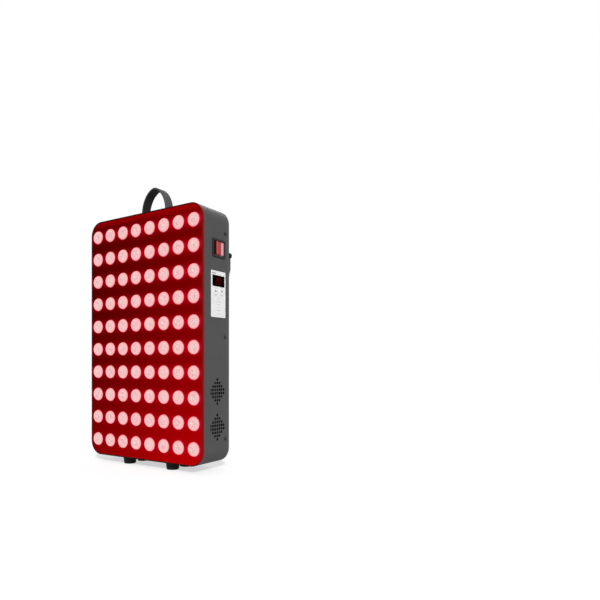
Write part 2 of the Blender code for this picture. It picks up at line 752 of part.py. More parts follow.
# Heat sink: one extruded comb of upright fins
def build_heat_sink():
    width = 2 * (INNER_HALF - FIT_GAP)
    height = CASE_HEIGHT - 2 * (CASE_CORNER_RADIUS + SINK_END_CLEARANCE)
    pitch = (width - FIN_THICKNESS) / (FIN_COUNT - 1)
    front = depth_to_y(SINK_FRONT)
    valley = front + SINK_BASE
    outline = [(-width / 2, front), (width / 2, front)]
    for fin in reversed(range(FIN_COUNT)):
        left = -width / 2 + fin * pitch
        right = left + FIN_THICKNESS
        if fin < FIN_COUNT - 1:
            outline.append((right, valley))
        outline += [(right, valley + FIN_HEIGHT), (left, valley + FIN_HEIGHT)]
        if fin > 0:
            outline.append((left, valley))
    sink = slab([outline], height, (0, 0, CASE_MIDDLE), "up")
    finish(sink, "heat_sink", BARE_ALUMINIUM, 0.35, 0.9)


# Rear cover: a tray with rounded edges, fan holes, an inlet hole and six screw tabs
def fan_places():
    for label, height in FAN_HEIGHTS.items():
        yield label, height_to_z(height)


def fan_screw_offsets():
    half = FAN_SCREW_SPACING / 2
    for number, (sx, sz) in enumerate(((-1, 1), (1, 1), (-1, -1), (1, -1))):
        yield number + 1, sx * half, sz * half


def fan_screw_outlines():
    radius = FAN_SCREW_RADIUS + SCREW_HOLE_GAP
    return [circle(radius, SCREW_SIDES, (dx, dz)) for _, dx, dz in fan_screw_offsets()]


def build_rear_cover():
    rim_middle = (0, depth_to_y(CASE_DEPTH - RIM_DEPTH / 2), CASE_MIDDLE)
    tray = slab([case_outline(0)], RIM_DEPTH, rim_middle, "front")
    edge = depth_to_y(CASE_DEPTH)
    work = bmesh.new()
    work.from_mesh(tray.data)
    behind = [e for e in work.edges if all(v.co.z < 0 for v in e.verts)]
    rear = [e for e in behind if e.calc_face_angle(0) > RIM_SHARP_ANGLE]
    bmesh.ops.bevel(
        work, geom=rear, offset=RIM_ROUNDING, segments=ROUNDING_SEGMENTS, affect="EDGES", profile=1 / 2
    )
    work.to_mesh(tray.data)
    work.free()
    pocket_depth = RIM_DEPTH - COVER_WALL
    pocket = slab(
        [case_outline(COVER_WALL)],
        pocket_depth + CUT_OVERRUN,
        (0, depth_to_y(SEAM_DEPTH + (pocket_depth - CUT_OVERRUN) / 2), CASE_MIDDLE),
        "front",
    )
    cut(tray, pocket)
    tab_length = COVER_INSIDE + JOIN_SINK - (SIDE_SCREW_DEPTH - TAB_REACH / 2)
    tab_y = depth_to_y(COVER_INSIDE + JOIN_SINK - tab_length / 2)
    for _, spot, _, side in side_screw_places():
        x = side * (INNER_HALF - FIT_GAP - COVER_WALL / 2)
        join(tray, box((COVER_WALL, tab_length, TAB_HEIGHT), (x, tab_y, spot.z)))
    for _, spot, facing, side in side_screw_places():
        x = side * (INNER_HALF - FIT_GAP - COVER_WALL / 2)
        hole = screw_hole(SIDE_SCREW_RADIUS, COVER_WALL + CUT_OVERRUN, (x, spot.y, spot.z), facing)
        cut(tray, hole)
    through = COVER_WALL + 2 * CUT_OVERRUN
    for _, z in fan_places():
        cut(tray, rod(FAN_BORE_RADIUS, through, FAN_BORE_SIDES, (0, edge, z), "front"))
        for _, dx, dz in fan_screw_offsets():
            cut(tray, screw_hole(FAN_SCREW_RADIUS, through, (dx, edge, z + dz), "front"))
    width, height = (side + 2 * FIT_GAP for side in INLET_BODY)
    cut(tray, box((width, through, height), (INLET_X, edge, height_to_z(INLET_HEIGHT))))
    finish(tray, "rear_cover", SHEET_GREY, 0.55)


# Side screws: pan heads on the case wall, shanks into the cover's tabs
def build_side_screws():
    for name, spot, facing, side in side_screw_places():
        head = screw(SIDE_SCREW_HEAD_RADIUS, SIDE_SCREW_HEAD_HEIGHT, SIDE_SCREW_RADIUS, SIDE_SCREW_LENGTH)
        place(head, spot + Vector((side * FIT_GAP, 0, 0)), facing)
        finish(head, name, SCREW_DARK, 0.4, 0.8)


# Fans: frame with motor seat and struts, rotor on its own axis, wire guard, four screws each
def fan_frame_mesh():
    """A fan frame about its middle, with its outlet on +Z."""
    edge = rounded_rectangle(FAN_SIZE, FAN_SIZE, FAN_CORNER_RADIUS)
    bore = circle(FAN_BORE_RADIUS, FAN_BORE_SIDES)
    frame = slab([edge, bore] + fan_screw_outlines(), FAN_THICKNESS, (0, 0, 0), "up")
    seat_z = (FAN_THICKNESS - FAN_MOTOR_THICKNESS) / 2
    join(frame, rod(FAN_MOTOR_RADIUS, FAN_MOTOR_THICKNESS, FAN_BORE_SIDES, (0, 0, seat_z), "up"))
    reach = FAN_BORE_RADIUS - FAN_MOTOR_RADIUS + 2 * JOIN_SINK
    middle = FAN_MOTOR_RADIUS - JOIN_SINK + reach / 2
    strut_thickness = FAN_MOTOR_THICKNESS - 2 * JOIN_SINK
    for number in range(FAN_STRUTS):
        turn = number * FULL_TURN / FAN_STRUTS
        spot = (middle * math.cos(turn), middle * math.sin(turn), seat_z)
        strut = box((reach, FAN_STRUT_WIDTH, strut_thickness), spot)
        strut.rotation_euler = Euler((0, 0, turn))
        join(frame, strut)
    return settled(frame)


def fan_rotor_mesh():
    """A rotor about its hub's middle: a cup with pitched, cambered blades."""
    half = FAN_HUB_THICKNESS / 2
    hub = turned(
        [(0, half), (FAN_MOTOR_RADIUS - FAN_HUB_ROUNDING, half), (FAN_MOTOR_RADIUS, half - FAN_HUB_ROUNDING),
         (FAN_MOTOR_RADIUS, -half), (0, -half)],
        FAN_BORE_SIDES, (0, 0, 0), "up",
    )
    root = FAN_MOTOR_RADIUS - 2 * JOIN_SINK
    tip = FAN_BORE_RADIUS - FAN_BLADE_TIP_GAP
    along = FAN_BLADE_SPAN_STEPS
    across = FAN_BLADE_CHORD_STEPS
    blade = bmesh.new()
    grid = []
    for i in range(along + 1):
        radius = root + (tip - root) * i / along
        row = []
        for j in range(across + 1):
            share = 2 * j / across - 1
            chord = share * FAN_BLADE_CHORD / 2
            lift = FAN_BLADE_CAMBER * (1 - share * share)
            flat = chord * math.cos(FAN_BLADE_PITCH) - lift * math.sin(FAN_BLADE_PITCH)
            rise = chord * math.sin(FAN_BLADE_PITCH) + lift * math.cos(FAN_BLADE_PITCH)
            angle = flat / tip
            row.append(blade.verts.new((radius * math.cos(angle), radius * math.sin(angle), rise)))
        grid.append(row)
    for i in range(along):
        for j in range(across):
            blade.faces.new((grid[i][j], grid[i + 1][j], grid[i + 1][j + 1], grid[i][j + 1]))
    mesh = bpy.data.meshes.new("blade")
    blade.to_mesh(mesh)
    blade.free()
    for number in range(FAN_BLADES):
        single = holder(mesh.copy())
        single.rotation_euler = Euler((0, 0, number * FULL_TURN / FAN_BLADES))
        skin = single.modifiers.new("thickness", "SOLIDIFY")
        skin.thickness = FAN_BLADE_THICKNESS
        skin.offset = 0
        join(hub, settled(single))
    return settled(hub)


def guard_slot(inner, outer, turn):
    """An open sector of the guard, between two rings and two bars."""
    half = GUARD_BAR / 2
    far = math.asin(half / outer)
    slot = arc((0, 0), outer, turn + far, turn + QUARTER_TURN - far, GUARD_SLOT_STEPS)
    if inner > 0:
        near = math.asin(half / inner)
        slot += arc((0, 0), inner, turn + QUARTER_TURN - near, turn + near, GUARD_SLOT_STEPS)
    else:
        reach = half * math.sqrt(2)
        middle = turn + EIGHTH_TURN
        slot.append((reach * math.cos(middle), reach * math.sin(middle)))
    return slot


def fan_guard_mesh():
    """A pressed guard: rings on crossing bars that end in screw eyes."""
    half = GUARD_BAR / 2
    rim = GUARD_RING_RADII[-1] + half
    arm = FAN_SCREW_SPACING / math.sqrt(2)
    neck = HALF_TURN - math.asin(half / GUARD_EYE_RADIUS)
    step = math.asin(half / rim)
    bars = [EIGHTH_TURN + quadrant * QUARTER_TURN for quadrant in range(QUADRANTS)]
    edge = []
    for bar in bars:
        eye = (arm * math.cos(bar), arm * math.sin(bar))
        edge += arc(eye, GUARD_EYE_RADIUS, bar - neck, bar + neck, SCREW_SIDES)
        edge += arc((0, 0), rim, bar + step, bar + QUARTER_TURN - step, GUARD_SLOT_STEPS)
    outlines = [edge] + fan_screw_outlines()
    inner_edges = [0] + [radius + half for radius in GUARD_RING_RADII[:-1]]
    outer_edges = [radius - half for radius in GUARD_RING_RADII]
    for inner, outer in zip(inner_edges, outer_edges):
        outlines += [guard_slot(inner, outer, bar) for bar in bars]
    return slab(outlines, GUARD_THICKNESS, (0, 0, 0), "up")


def build_fans():
    frame_depth = COVER_INSIDE - FIT_GAP - FAN_THICKNESS / 2
    seat_front = frame_depth + FAN_THICKNESS / 2 - FAN_MOTOR_THICKNESS
    rotor_depth = seat_front - FIT_GAP - FAN_HUB_THICKNESS / 2
    guard_depth = CASE_DEPTH + FIT_GAP + GUARD_THICKNESS / 2
    screw_depth = guard_depth + GUARD_THICKNESS / 2 + FIT_GAP
    frame = fan_frame_mesh()
    rotor = fan_rotor_mesh()
    guard = fan_guard_mesh()
    for label, z in fan_places():
        body = place(holder(frame.data.copy()), (0, depth_to_y(frame_depth), z), "back")
        finish(body, f"fan_frame_{label}", BLACK_PLASTIC, 0.5)
        spinner = place(holder(rotor.data.copy()), (0, depth_to_y(rotor_depth), z), "front")
        finish(spinner, f"fan_rotor_{label}", BLACK_PLASTIC, 0.45)
        grill = place(holder(guard.data.copy()), (0, depth_to_y(guard_depth), z), "back")
        finish(grill, f"fan_guard_{label}", BLACK_PLASTIC, 0.35, 0.6)
        for number, dx, dz in fan_screw_offsets():
            fixing = screw(FAN_SCREW_HEAD_RADIUS, FAN_SCREW_HEAD_HEIGHT, FAN_SCREW_RADIUS, FAN_SCREW_LENGTH)
            place(fixing, (dx, depth_to_y(screw_depth), z + dz), "back")
            finish(fixing, f"fan_screw_{label}_{number}", SCREW_DARK, 0.4, 0.8)
    for pattern in (frame, rotor, guard):
        bpy.data.objects.remove(pattern, do_unlink=True)


# Lamp driver: a potted metal box
def build_driver():
    depth = COVER_INSIDE - FIT_GAP - DRIVER_SIZE[1] / 2
    driver = box(DRIVER_SIZE, (DRIVER_CENTRE_X, depth_to_y(depth), height_to_z(DRIVER_HEIGHT)))
    round_edges(driver, DRIVER_ROUNDING)
    finish(driver, "lamp_driver", BARE_ALUMINIUM, 0.45, 0.8)


# Power inlet: a flanged socket with three pins and three terminals
def build_inlet():
    z = height_to_z(INLET_HEIGHT)
    flange_back = CASE_DEPTH + FIT_GAP
    face = flange_back + INLET_FLANGE_THICKNESS
    flange_middle = (INLET_X, depth_to_y(flange_back + INLET_FLANGE_THICKNESS / 2), z)
    edge = rounded_rectangle(*INLET_FLANGE, INLET_FLANGE_RADIUS)
    flange = slab([edge], INLET_FLANGE_THICKNESS, flange_middle, "back")
    body_depth = INLET_BODY_DEPTH + JOIN_SINK
    body_end = flange_back - INLET_BODY_DEPTH
    body_middle = (INLET_X, depth_to_y(body_end + body_depth / 2), z)
    join(flange, box((INLET_BODY[0], body_depth, INLET_BODY[1]), body_middle))
    recess = INLET_RECESS_DEPTH + CUT_OVERRUN
    floor = face - INLET_RECESS_DEPTH
    recess_middle = (INLET_X, depth_to_y(floor + recess / 2), z)
    cut(flange, box((INLET_RECESS[0], recess, INLET_RECESS[1]), recess_middle))
    pin_length = INLET_PIN_LENGTH + JOIN_SINK
    blade_length = TERMINAL_LENGTH + JOIN_SINK
    for step in (-1, 0, 1):
        x = INLET_X + step * INLET_PIN_SPREAD
        lift = INLET_PIN_DROP if step == 0 else -INLET_PIN_DROP
        pin_y = depth_to_y(floor - JOIN_SINK + pin_length / 2)
        join(flange, box((INLET_PIN[0], pin_length, INLET_PIN[1]), (x, pin_y, z + lift)))
        blade_y = depth_to_y(body_end + JOIN_SINK - blade_length / 2)
        join(flange, box((TERMINAL_BLADE[1], blade_length, TERMINAL_BLADE[0]), (x, blade_y, z)))
    finish(flange, "power_inlet", BLACK_PLASTIC, 0.4)


# Rocker switch: housing with a bezel and a well, and a rocker that tilts on an upright axis
def build_switch():
    y = depth_to_y(SWITCH_DEPTH)
    z = height_to_z(SWITCH_HEIGHT)
    edge = rounded_rectangle(*BEZEL_SIZE, BEZEL_CORNER_RADIUS)
    bezel = slab([edge], BEZEL_THICKNESS, (BEZEL_BACK + BEZEL_THICKNESS / 2, y, z), "right")
    body_depth = SWITCH_BODY_DEPTH + JOIN_SINK
    body_end = BEZEL_BACK - SWITCH_BODY_DEPTH
    join(bezel, box((body_depth, *SWITCH_BODY), (body_end + body_depth / 2, y, z)))
    reach = math.hypot(ROCKER_LENGTH / 2, ROCKER_THROAT + ROCKER_LENGTH / 2 * math.tan(ROCKER_TILT))
    well_width = 2 * (reach + FIT_GAP)
    well_height = ROCKER_HEIGHT + 2 * ROCKER_CLEARANCE
    well = SWITCH_WELL_DEPTH + CUT_OVERRUN
    cut(bezel, box((well, well_width, well_height), (BEZEL_FACE - SWITCH_WELL_DEPTH + well / 2, y, z)))
    blade_length = TERMINAL_LENGTH + JOIN_SINK
    for step in (-1, 0, 1):
        spot = (body_end + JOIN_SINK - blade_length / 2, y + step * SWITCH_TERMINAL_SPREAD, z)
        join(bezel, box((blade_length, TERMINAL_BLADE[1], TERMINAL_BLADE[0]), spot))
    finish(bezel, "switch_housing", BLACK_PLASTIC, 0.4)

    half = ROCKER_LENGTH / 2
    wing = ROCKER_THROAT + half * math.tan(ROCKER_TILT)
    belly = ROCKER_BELLY_WIDTH / 2
    outline = [
        (0, ROCKER_THROAT),
        (-half, wing),
        (-half, -ROCKER_SKIRT),
        (-belly, -ROCKER_BELLY),
        (belly, -ROCKER_BELLY),
        (half, -ROCKER_SKIRT),
        (half, wing),
    ]
    rocker = slab([outline], ROCKER_HEIGHT, (0, 0, 0), "up")
    pivot_x = BEZEL_FACE - ROCKER_SINK - ROCKER_THROAT
    rocker.location = (pivot_x, y, z)
    rocker.rotation_euler = Euler((0, 0, ROCKER_TILT - QUARTER_TURN))
    finish(rocker, "switch_rocker", ROCKER_RED, 0.25)


# Control plate, display window, buttons and the board behind them
def button_places():
    for label, side in (("front", -1), ("rear", 1)):
        yield label, depth_to_y(PLATE_DEPTH + side * BUTTON_SPACING / 2), height_to_z(BUTTON_HEIGHT)


def build_controls():
    y = depth_to_y(PLATE_DEPTH)
    z = height_to_z(PLATE_HEIGHT)
    window = rounded_rectangle(*WINDOW_SIZE, PLATE_CORNER_RADIUS, centre=(0, height_to_z(WINDOW_HEIGHT) - z))
    holes = [circle(BUTTON_RADIUS + FIT_GAP, BUTTON_SIDES, (by - y, bz - z)) for _, by, bz in button_places()]
    edge = rounded_rectangle(*PLATE_SIZE, PLATE_CORNER_RADIUS)
    plate = slab([edge, window] + holes, PLATE_THICKNESS, (PLATE_BACK + PLATE_THICKNESS / 2, y, z), "right")
    finish(plate, "control_plate", WHITE_PLASTIC, 0.4)

    pane_size = [side - 2 * FIT_GAP for side in WINDOW_SIZE]
    pane_edge = rounded_rectangle(*pane_size, PLATE_CORNER_RADIUS - FIT_GAP)
    pane_middle = (PLATE_BACK + PLATE_THICKNESS / 2, y, height_to_z(WINDOW_HEIGHT))
    pane = slab([pane_edge], PLATE_THICKNESS, pane_middle, "right")
    finish(pane, "display_window", SMOKED_RED, 0.1)

    face = PLATE_THICKNESS + BUTTON_STAND
    flange = BUTTON_RADIUS + BUTTON_FLANGE_STEP
    flange_top = -2 * FIT_GAP
    flange_bottom = flange_top - BUTTON_FLANGE_THICKNESS
    profile = [
        (0, face),
        (BUTTON_RADIUS - BUTTON_STAND, face),
        (BUTTON_RADIUS, face - BUTTON_STAND),
        (BUTTON_RADIUS, flange_top),
        (flange, flange_top),
        (flange, flange_bottom),
        (BUTTON_STEM_RADIUS, flange_bottom),
        (BUTTON_STEM_RADIUS, flange_bottom - BUTTON_STEM_LENGTH),
        (0, flange_bottom - BUTTON_STEM_LENGTH),
    ]
    for label, by, bz in button_places():
        button = turned(profile, BUTTON_SIDES, (PLATE_BACK, by, bz), "right")
        finish(button, f"button_{label}", WHITE_PLASTIC, 0.35)

    board_face = INNER_HALF - CONTROL_BOARD_STANDOFF
    board_z = height_to_z(CONTROL_BOARD_HEIGHT)
    board = box((BOARD_THICKNESS, *CONTROL_BOARD_SIZE), (board_face - BOARD_THICKNESS / 2, y, board_z))
    display_front = PLATE_BACK - FIT_GAP
    display_depth = display_front - board_face + JOIN_SINK
    flange_edge = BUTTON_HEIGHT + flange + FIT_GAP
    display_top = WINDOW_HEIGHT + WINDOW_SIZE[1] / 2 - FIT_GAP
    display_size = (display_depth, pane_size[0] - 2 * FIT_GAP, display_top - flange_edge)
    display_z = height_to_z((display_top + flange_edge) / 2)
    join(board, box(display_size, (display_front - display_depth / 2, y, display_z)))
    stem_end = PLATE_BACK + flange_bottom - BUTTON_STEM_LENGTH
    key_front = stem_end - BUTTON_TRAVEL - FIT_GAP
    key_depth = key_front - board_face + JOIN_SINK
    for _, by, bz in button_places():
        join(board, box((key_depth, KEY_SIZE, KEY_SIZE), (key_front - key_depth / 2, by, bz)))
    post_length = CONTROL_BOARD_STANDOFF - FIT_GAP + JOIN_SINK
    post_x = INNER_HALF - FIT_GAP - post_length / 2
    for side in (-1, 1):
        post_y = y + side * (CONTROL_BOARD_SIZE[0] / 2 - POST_EDGE_MARGIN)
        post_z = board_z - CONTROL_BOARD_SIZE[1] / 2 + POST_EDGE_MARGIN
        join(board, rod(POST_RADIUS, post_length, SCREW_SIDES, (post_x, post_y, post_z), "right"))
    finish(board, "control_board", BOARD_GREEN, 0.5)


# Strap handle: a band that arches up between two moulded end caps
def strap_line():
    """The strap's middle line, across and up from the case's top."""
    level = FIT_GAP + STRAP_THICKNESS / 2
    half = STRAP_ARCH_HALF_WIDTH - STRAP_THICKNESS / 2
    top = STRAP_ARCH_HEIGHT - STRAP_THICKNESS / 2
    spring = level + STRAP_KNEE_RADIUS
    end = CAP_OUTER_END - CAP_END_WALL - FIT_GAP
    knee = arc((-half - STRAP_KNEE_RADIUS, spring), STRAP_KNEE_RADIUS, -QUARTER_TURN, 0, STRAP_KNEE_STEPS)
    line = [(-end, level)] + knee
    for step in range(1, STRAP_ARCH_STEPS):
        turn = HALF_TURN * step / STRAP_ARCH_STEPS
        across = -math.copysign(abs(math.cos(turn)) ** STRAP_ARCH_POWER, math.cos(turn))
        line.append((half * across, spring + (top - spring) * math.sin(turn)))
    mirrored = [(-x, z) for x, z in reversed(knee)]
    return line + mirrored + [(end, level)]


def thickened(line, thickness):
    """The closed outline of a band of even thickness about a line."""
    left, right = [], []
    for i, point in enumerate(line):
        before = Vector(line[max(i - 1, 0)])
        after = Vector(line[min(i + 1, len(line) - 1)])
        along = (after - before).normalized()
        out = Vector((-along.y, along.x)) * thickness / 2
        left.append(tuple(Vector(point) + out))
        right.append(tuple(Vector(point) - out))
    return left + right[::-1]


def build_handle():
    centre = Vector((0, CASE_CENTRE_Y, CASE_TOP))
    strap = slab([thickened(strap_line(), STRAP_THICKNESS)], STRAP_WIDTH, centre, "front")
    through = CAP_HEIGHT + 2 * CUT_OVERRUN
    middle_z = CASE_TOP + CAP_HEIGHT / 2
    for _, x in handle_screw_places():
        cut(strap, screw_hole(HANDLE_SCREW_RADIUS, through, (x, CASE_CENTRE_Y, middle_z), "up"))
    finish(strap, "handle_strap", RUBBER_BLACK, 0.6)
    length = CAP_OUTER_END - CAP_INNER_END
    height = CAP_HEIGHT - FIT_GAP
    for side, x in handle_screw_places():
        outward = 1 if side == "right" else -1
        cap = box((length, CAP_WIDTH, height), (x, CASE_CENTRE_Y, CASE_TOP + FIT_GAP + height / 2))
        round_edges(cap, CAP_ROUNDING)
        channel_length = length - CAP_END_WALL + CUT_OVERRUN
        channel_top = CASE_TOP + STRAP_THICKNESS + 2 * FIT_GAP
        channel_height = STRAP_THICKNESS + 2 * FIT_GAP + CUT_OVERRUN
        channel_x = x - outward * (CAP_END_WALL + CUT_OVERRUN) / 2
        channel_size = (channel_length, STRAP_WIDTH + 2 * FIT_GAP, channel_height)
        cut(cap, box(channel_size, (channel_x, CASE_CENTRE_Y, channel_top - channel_height / 2)))
        cut(cap, screw_hole(HANDLE_SCREW_RADIUS, through, (x, CASE_CENTRE_Y, middle_z), "up"))
        finish(cap, f"handle_cap_{side}", BLACK_PLASTIC, 0.5)
        fixing = screw(
            HANDLE_SCREW_HEAD_RADIUS, HANDLE_SCREW_HEAD_HEIGHT, HANDLE_SCREW_RADIUS, HANDLE_SCREW_LENGTH
        )
        place(fixing, (x, CASE_CENTRE_Y, CASE_TOP + CAP_HEIGHT + FIT_GAP), "up")
        finish(fixing, f"handle_screw_{side}", SCREW_STEEL, 0.3, 0.9)


# Feet: tapered rubber buttons, each with a screw up through its well
def build_feet():
    hole = FOOT_SCREW_RADIUS + SCREW_HOLE_GAP
    profile = [
        (hole, FOOT_HEIGHT),
        (FOOT_TOP_RADIUS, FOOT_HEIGHT),
        (FOOT_BOTTOM_RADIUS, 0),
        (FOOT_WELL_RADIUS, 0),
        (FOOT_WELL_RADIUS, FOOT_WELL_DEPTH),
        (hole, FOOT_WELL_DEPTH),
    ]
    for label, x, y in foot_places():
        foot = turned(profile, FOOT_SIDES, (x, y, 0), "up")
        finish(foot, f"foot_{label}", RUBBER_BLACK, 0.7)
        fixing = screw(FOOT_SCREW_HEAD_RADIUS, FOOT_SCREW_HEAD_HEIGHT, FOOT_SCREW_RADIUS, FOOT_SCREW_LENGTH)
        place(fixing, (x, y, FOOT_WELL_DEPTH - FIT_GAP), "down")
        finish(fixing, f"foot_screw_{label}", SCREW_STEEL, 0.35, 0.9)


# Hanger lugs: bent steel ears behind both rear edges, with a rubber bumper above each
def build_hangers():
    back = CASE_DEPTH + FIT_GAP
    for side, facing in ((1, "right"), (-1, "left")):
        outer = side * (CASE_SIDE - LUG_INSET)
        near = side * depth_to_y(back)
        far = side * depth_to_y(CASE_DEPTH + LUG_REACH)
        outline = [
            (near, height_to_z(LUG_BOTTOM)),
            (far, height_to_z(LUG_BOTTOM + LUG_TAPER)),
            (far, height_to_z(LUG_TOP)),
            (near, height_to_z(LUG_TOP)),
        ]
        lug = slab([outline], LUG_THICKNESS, (outer - side * LUG_THICKNESS / 2, 0, 0), facing)
        leg_height = LUG_TOP - LUG_BOTTOM
        leg_x = outer - side * (LUG_LEG_WIDTH / 2 + JOIN_SINK)
        leg_middle = (leg_x, depth_to_y(back + COVER_WALL / 2), height_to_z(LUG_BOTTOM + leg_height / 2))
        join(lug, box((LUG_LEG_WIDTH, COVER_WALL, leg_height), leg_middle))
        finish(lug, f"hanger_lug_{facing}", SHEET_GREY, 0.5)
        length = BUMPER_REACH - FIT_GAP
        profile = [
            (0, length),
            (BUMPER_RADIUS - BUMPER_ROUNDING, length),
            (BUMPER_RADIUS, length - BUMPER_ROUNDING),
            (BUMPER_RADIUS, 0),
            (0, 0),
        ]
        bumper_z = height_to_z(LUG_TOP) + FIT_GAP + BUMPER_RADIUS
        spot = (outer - side * BUMPER_RADIUS, depth_to_y(back), bumper_z)
        bumper = turned(profile, BUMPER_SIDES, spot, "back")
        finish(bumper, f"bumper_{facing}", RUBBER_BLACK, 0.7)


# Wires: smooth runs between the inlet, the switch, the driver and the lamp board
def smooth_run(points):
    """Points along a smooth curve through the given points, with a straight run at each end."""
    spots = [Vector(p) for p in points]
    line = [spots[0]]
    for a, b, c, d in zip(spots, spots[1:], spots[2:], spots[3:]):
        for step in range(WIRE_CONTROL_STEPS):
            t = step / WIRE_CONTROL_STEPS
            slope = (c - a) * t
            bend = (2 * a - 5 * b + 4 * c - d) * t * t
            twist = (3 * b - a - 3 * c + d) * t * t * t
            line.append(b + (slope + bend + twist) / 2)
    return line + spots[-2:]


def build_wires():
    inlet_back = depth_to_y(CASE_DEPTH + FIT_GAP - INLET_BODY_DEPTH - TERMINAL_LENGTH - FIT_GAP)
    inlet_z = height_to_z(INLET_HEIGHT)
    switch_back = BEZEL_BACK - SWITCH_BODY_DEPTH - TERMINAL_LENGTH - FIT_GAP
    switch_z = height_to_z(SWITCH_HEIGHT)
    switch_rear = depth_to_y(SWITCH_DEPTH + SWITCH_TERMINAL_SPREAD)
    switch_front = depth_to_y(SWITCH_DEPTH - SWITCH_TERMINAL_SPREAD)
    driver_y = depth_to_y(COVER_INSIDE - FIT_GAP - DRIVER_SIZE[1] / 2)
    driver_top = height_to_z(DRIVER_HEIGHT) + DRIVER_SIZE[2] / 2 + FIT_GAP
    driver_bottom = height_to_z(DRIVER_HEIGHT) - DRIVER_SIZE[2] / 2 - FIT_GAP
    field_bottom = CASE_MIDDLE - LAMP_FIELD_HEIGHT / 2
    pad_z = field_bottom + WIRE_PAD_RISE
    pad_y = depth_to_y(SINK_FRONT)
    sink_rear = SINK_FRONT + SINK_BASE + FIN_HEIGHT
    drop_y = depth_to_y(sink_rear + WIRE_DROP_GAP)
    turn_y = depth_to_y(sink_rear + WIRE_TURN_GAP)
    bend = WIRE_BEND
    routes = {
        "inlet_to_switch": [
            (INLET_X, inlet_back, inlet_z),
            (INLET_X, inlet_back - bend / 2, inlet_z),
            (INLET_X, inlet_back - bend, inlet_z + bend),
            (INLET_X, inlet_back - bend, inlet_z + 3 * bend),
            (switch_back - 2 * bend, switch_front, (inlet_z + switch_z) / 2),
            (switch_back - 2 * bend, switch_front, switch_z - 3 * bend),
            (switch_back - bend, switch_front, switch_z - bend / 2),
            (switch_back - bend / 2, switch_front, switch_z),
            (switch_back, switch_front, switch_z),
        ],
        "switch_to_driver": [
            (switch_back, switch_rear, switch_z),
            (switch_back - bend / 2, switch_rear, switch_z),
            (switch_back - bend, switch_rear, switch_z + bend / 2),
            (switch_back - 3 * bend, switch_rear, switch_z + 3 * bend),
            (0, driver_y, driver_top + 5 * bend),
            (DRIVER_CENTRE_X + 2 * bend, driver_y, driver_top + 4 * bend),
            (DRIVER_CENTRE_X, driver_y, driver_top + bend),
            (DRIVER_CENTRE_X, driver_y, driver_top),
        ],
        "driver_to_lamps": [
            (DRIVER_CENTRE_X, driver_y, driver_bottom),
            (DRIVER_CENTRE_X, driver_y, driver_bottom - bend),
            (DRIVER_CENTRE_X, drop_y, pad_z + 3 * bend),
            (DRIVER_CENTRE_X + bend, turn_y, pad_z),
            (DRIVER_CENTRE_X + bend, pad_y + bend, pad_z),
            (DRIVER_CENTRE_X + bend, pad_y, pad_z),
        ],
    }
    for label, points in routes.items():
        lead = wire(smooth_run(points), WIRE_RADIUS)
        finish(lead, f"wire_{label}", WIRE_BLACK, 0.5)


clear_scene()
build_case()
build_face_plate()
build_lens_plates()
build_lamp_boards()
build_heat_sink()
build_rear_cover()
build_side_screws()
build_fans()
build_driver()
build_inlet()
build_switch()
build_controls()
build_handle()
build_feet()
build_hangers()
build_wires()
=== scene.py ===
"""A red light therapy panel, piece by piece in the order in which it is put together.

Metres, +Z up, the lenses look towards -Y and the switch side is +X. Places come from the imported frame.
"""

import math

import bmesh
import bpy
from mathutils import Euler, Matrix, Vector


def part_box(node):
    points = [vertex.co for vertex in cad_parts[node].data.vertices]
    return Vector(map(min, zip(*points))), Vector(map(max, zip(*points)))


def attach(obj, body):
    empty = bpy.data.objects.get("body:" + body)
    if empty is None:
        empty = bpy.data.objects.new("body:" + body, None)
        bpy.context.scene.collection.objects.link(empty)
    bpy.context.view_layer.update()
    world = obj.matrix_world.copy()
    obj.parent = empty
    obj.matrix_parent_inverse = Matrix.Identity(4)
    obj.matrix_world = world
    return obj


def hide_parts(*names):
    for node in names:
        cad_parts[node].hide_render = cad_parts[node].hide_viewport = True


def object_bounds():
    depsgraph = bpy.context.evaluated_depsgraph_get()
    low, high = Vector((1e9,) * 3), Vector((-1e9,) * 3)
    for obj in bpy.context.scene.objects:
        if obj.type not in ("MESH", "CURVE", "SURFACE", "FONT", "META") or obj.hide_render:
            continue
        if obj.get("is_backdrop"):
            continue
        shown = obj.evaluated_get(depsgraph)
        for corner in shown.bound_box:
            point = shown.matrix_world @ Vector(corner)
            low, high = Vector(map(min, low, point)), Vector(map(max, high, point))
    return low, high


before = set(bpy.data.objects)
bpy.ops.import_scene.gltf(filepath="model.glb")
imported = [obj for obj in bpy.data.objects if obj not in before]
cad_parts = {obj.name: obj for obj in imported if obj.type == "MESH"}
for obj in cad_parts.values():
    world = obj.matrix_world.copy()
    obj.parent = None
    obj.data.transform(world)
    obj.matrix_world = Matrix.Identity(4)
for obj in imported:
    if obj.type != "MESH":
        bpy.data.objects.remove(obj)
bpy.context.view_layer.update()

# Case shell. A band of 1.5 mm steel sheet, bent round four corners and welded, with a lip inside its front
# edge that the lens plates rest on. Vents and openings are punched in its right side before powder coating.
WALL = 0.0015
CORNER_RADIUS = 0.022
EDGE_ROUNDING = 0.0008
LIP_WIDTH = 0.003
LIP_DEPTH = 0.0026
CORNER_STEPS = 20
EDGE_STEPS = 4
SMOOTH_ANGLE = math.radians(34)
WELD = 0.000002
VENT_SETBACK = 0.0335
VENT_RISES = (0.1057, 0.0541)
VENT_PITCH = 0.005
VENT_RADIUS = 0.0020
VENT_FLARE = 0.00015
VENT_COLUMNS = 7
VENT_ROWS = 8
PUNCH_SIDES = 20
HOLE_SIDES = 24
DIAMOND_SLACK = 0.1
SWITCH_OPENING = (0.0266, 0.0236)
CONTROL_OPENING = (0.0288, 0.0300)
CONTROL_OPENING_DROP = 0.0069
SIDE_HOLE = 0.0021
SOLE_HOLE = 0.0026
CASE_GREY = (0.088, 0.088, 0.089)
# The next colours are the lamps' red light painted onto the case's front rounding, dim all round and glowing
# near the right corner.
RIM_LAMP_RED = (0.015, 0, 0)
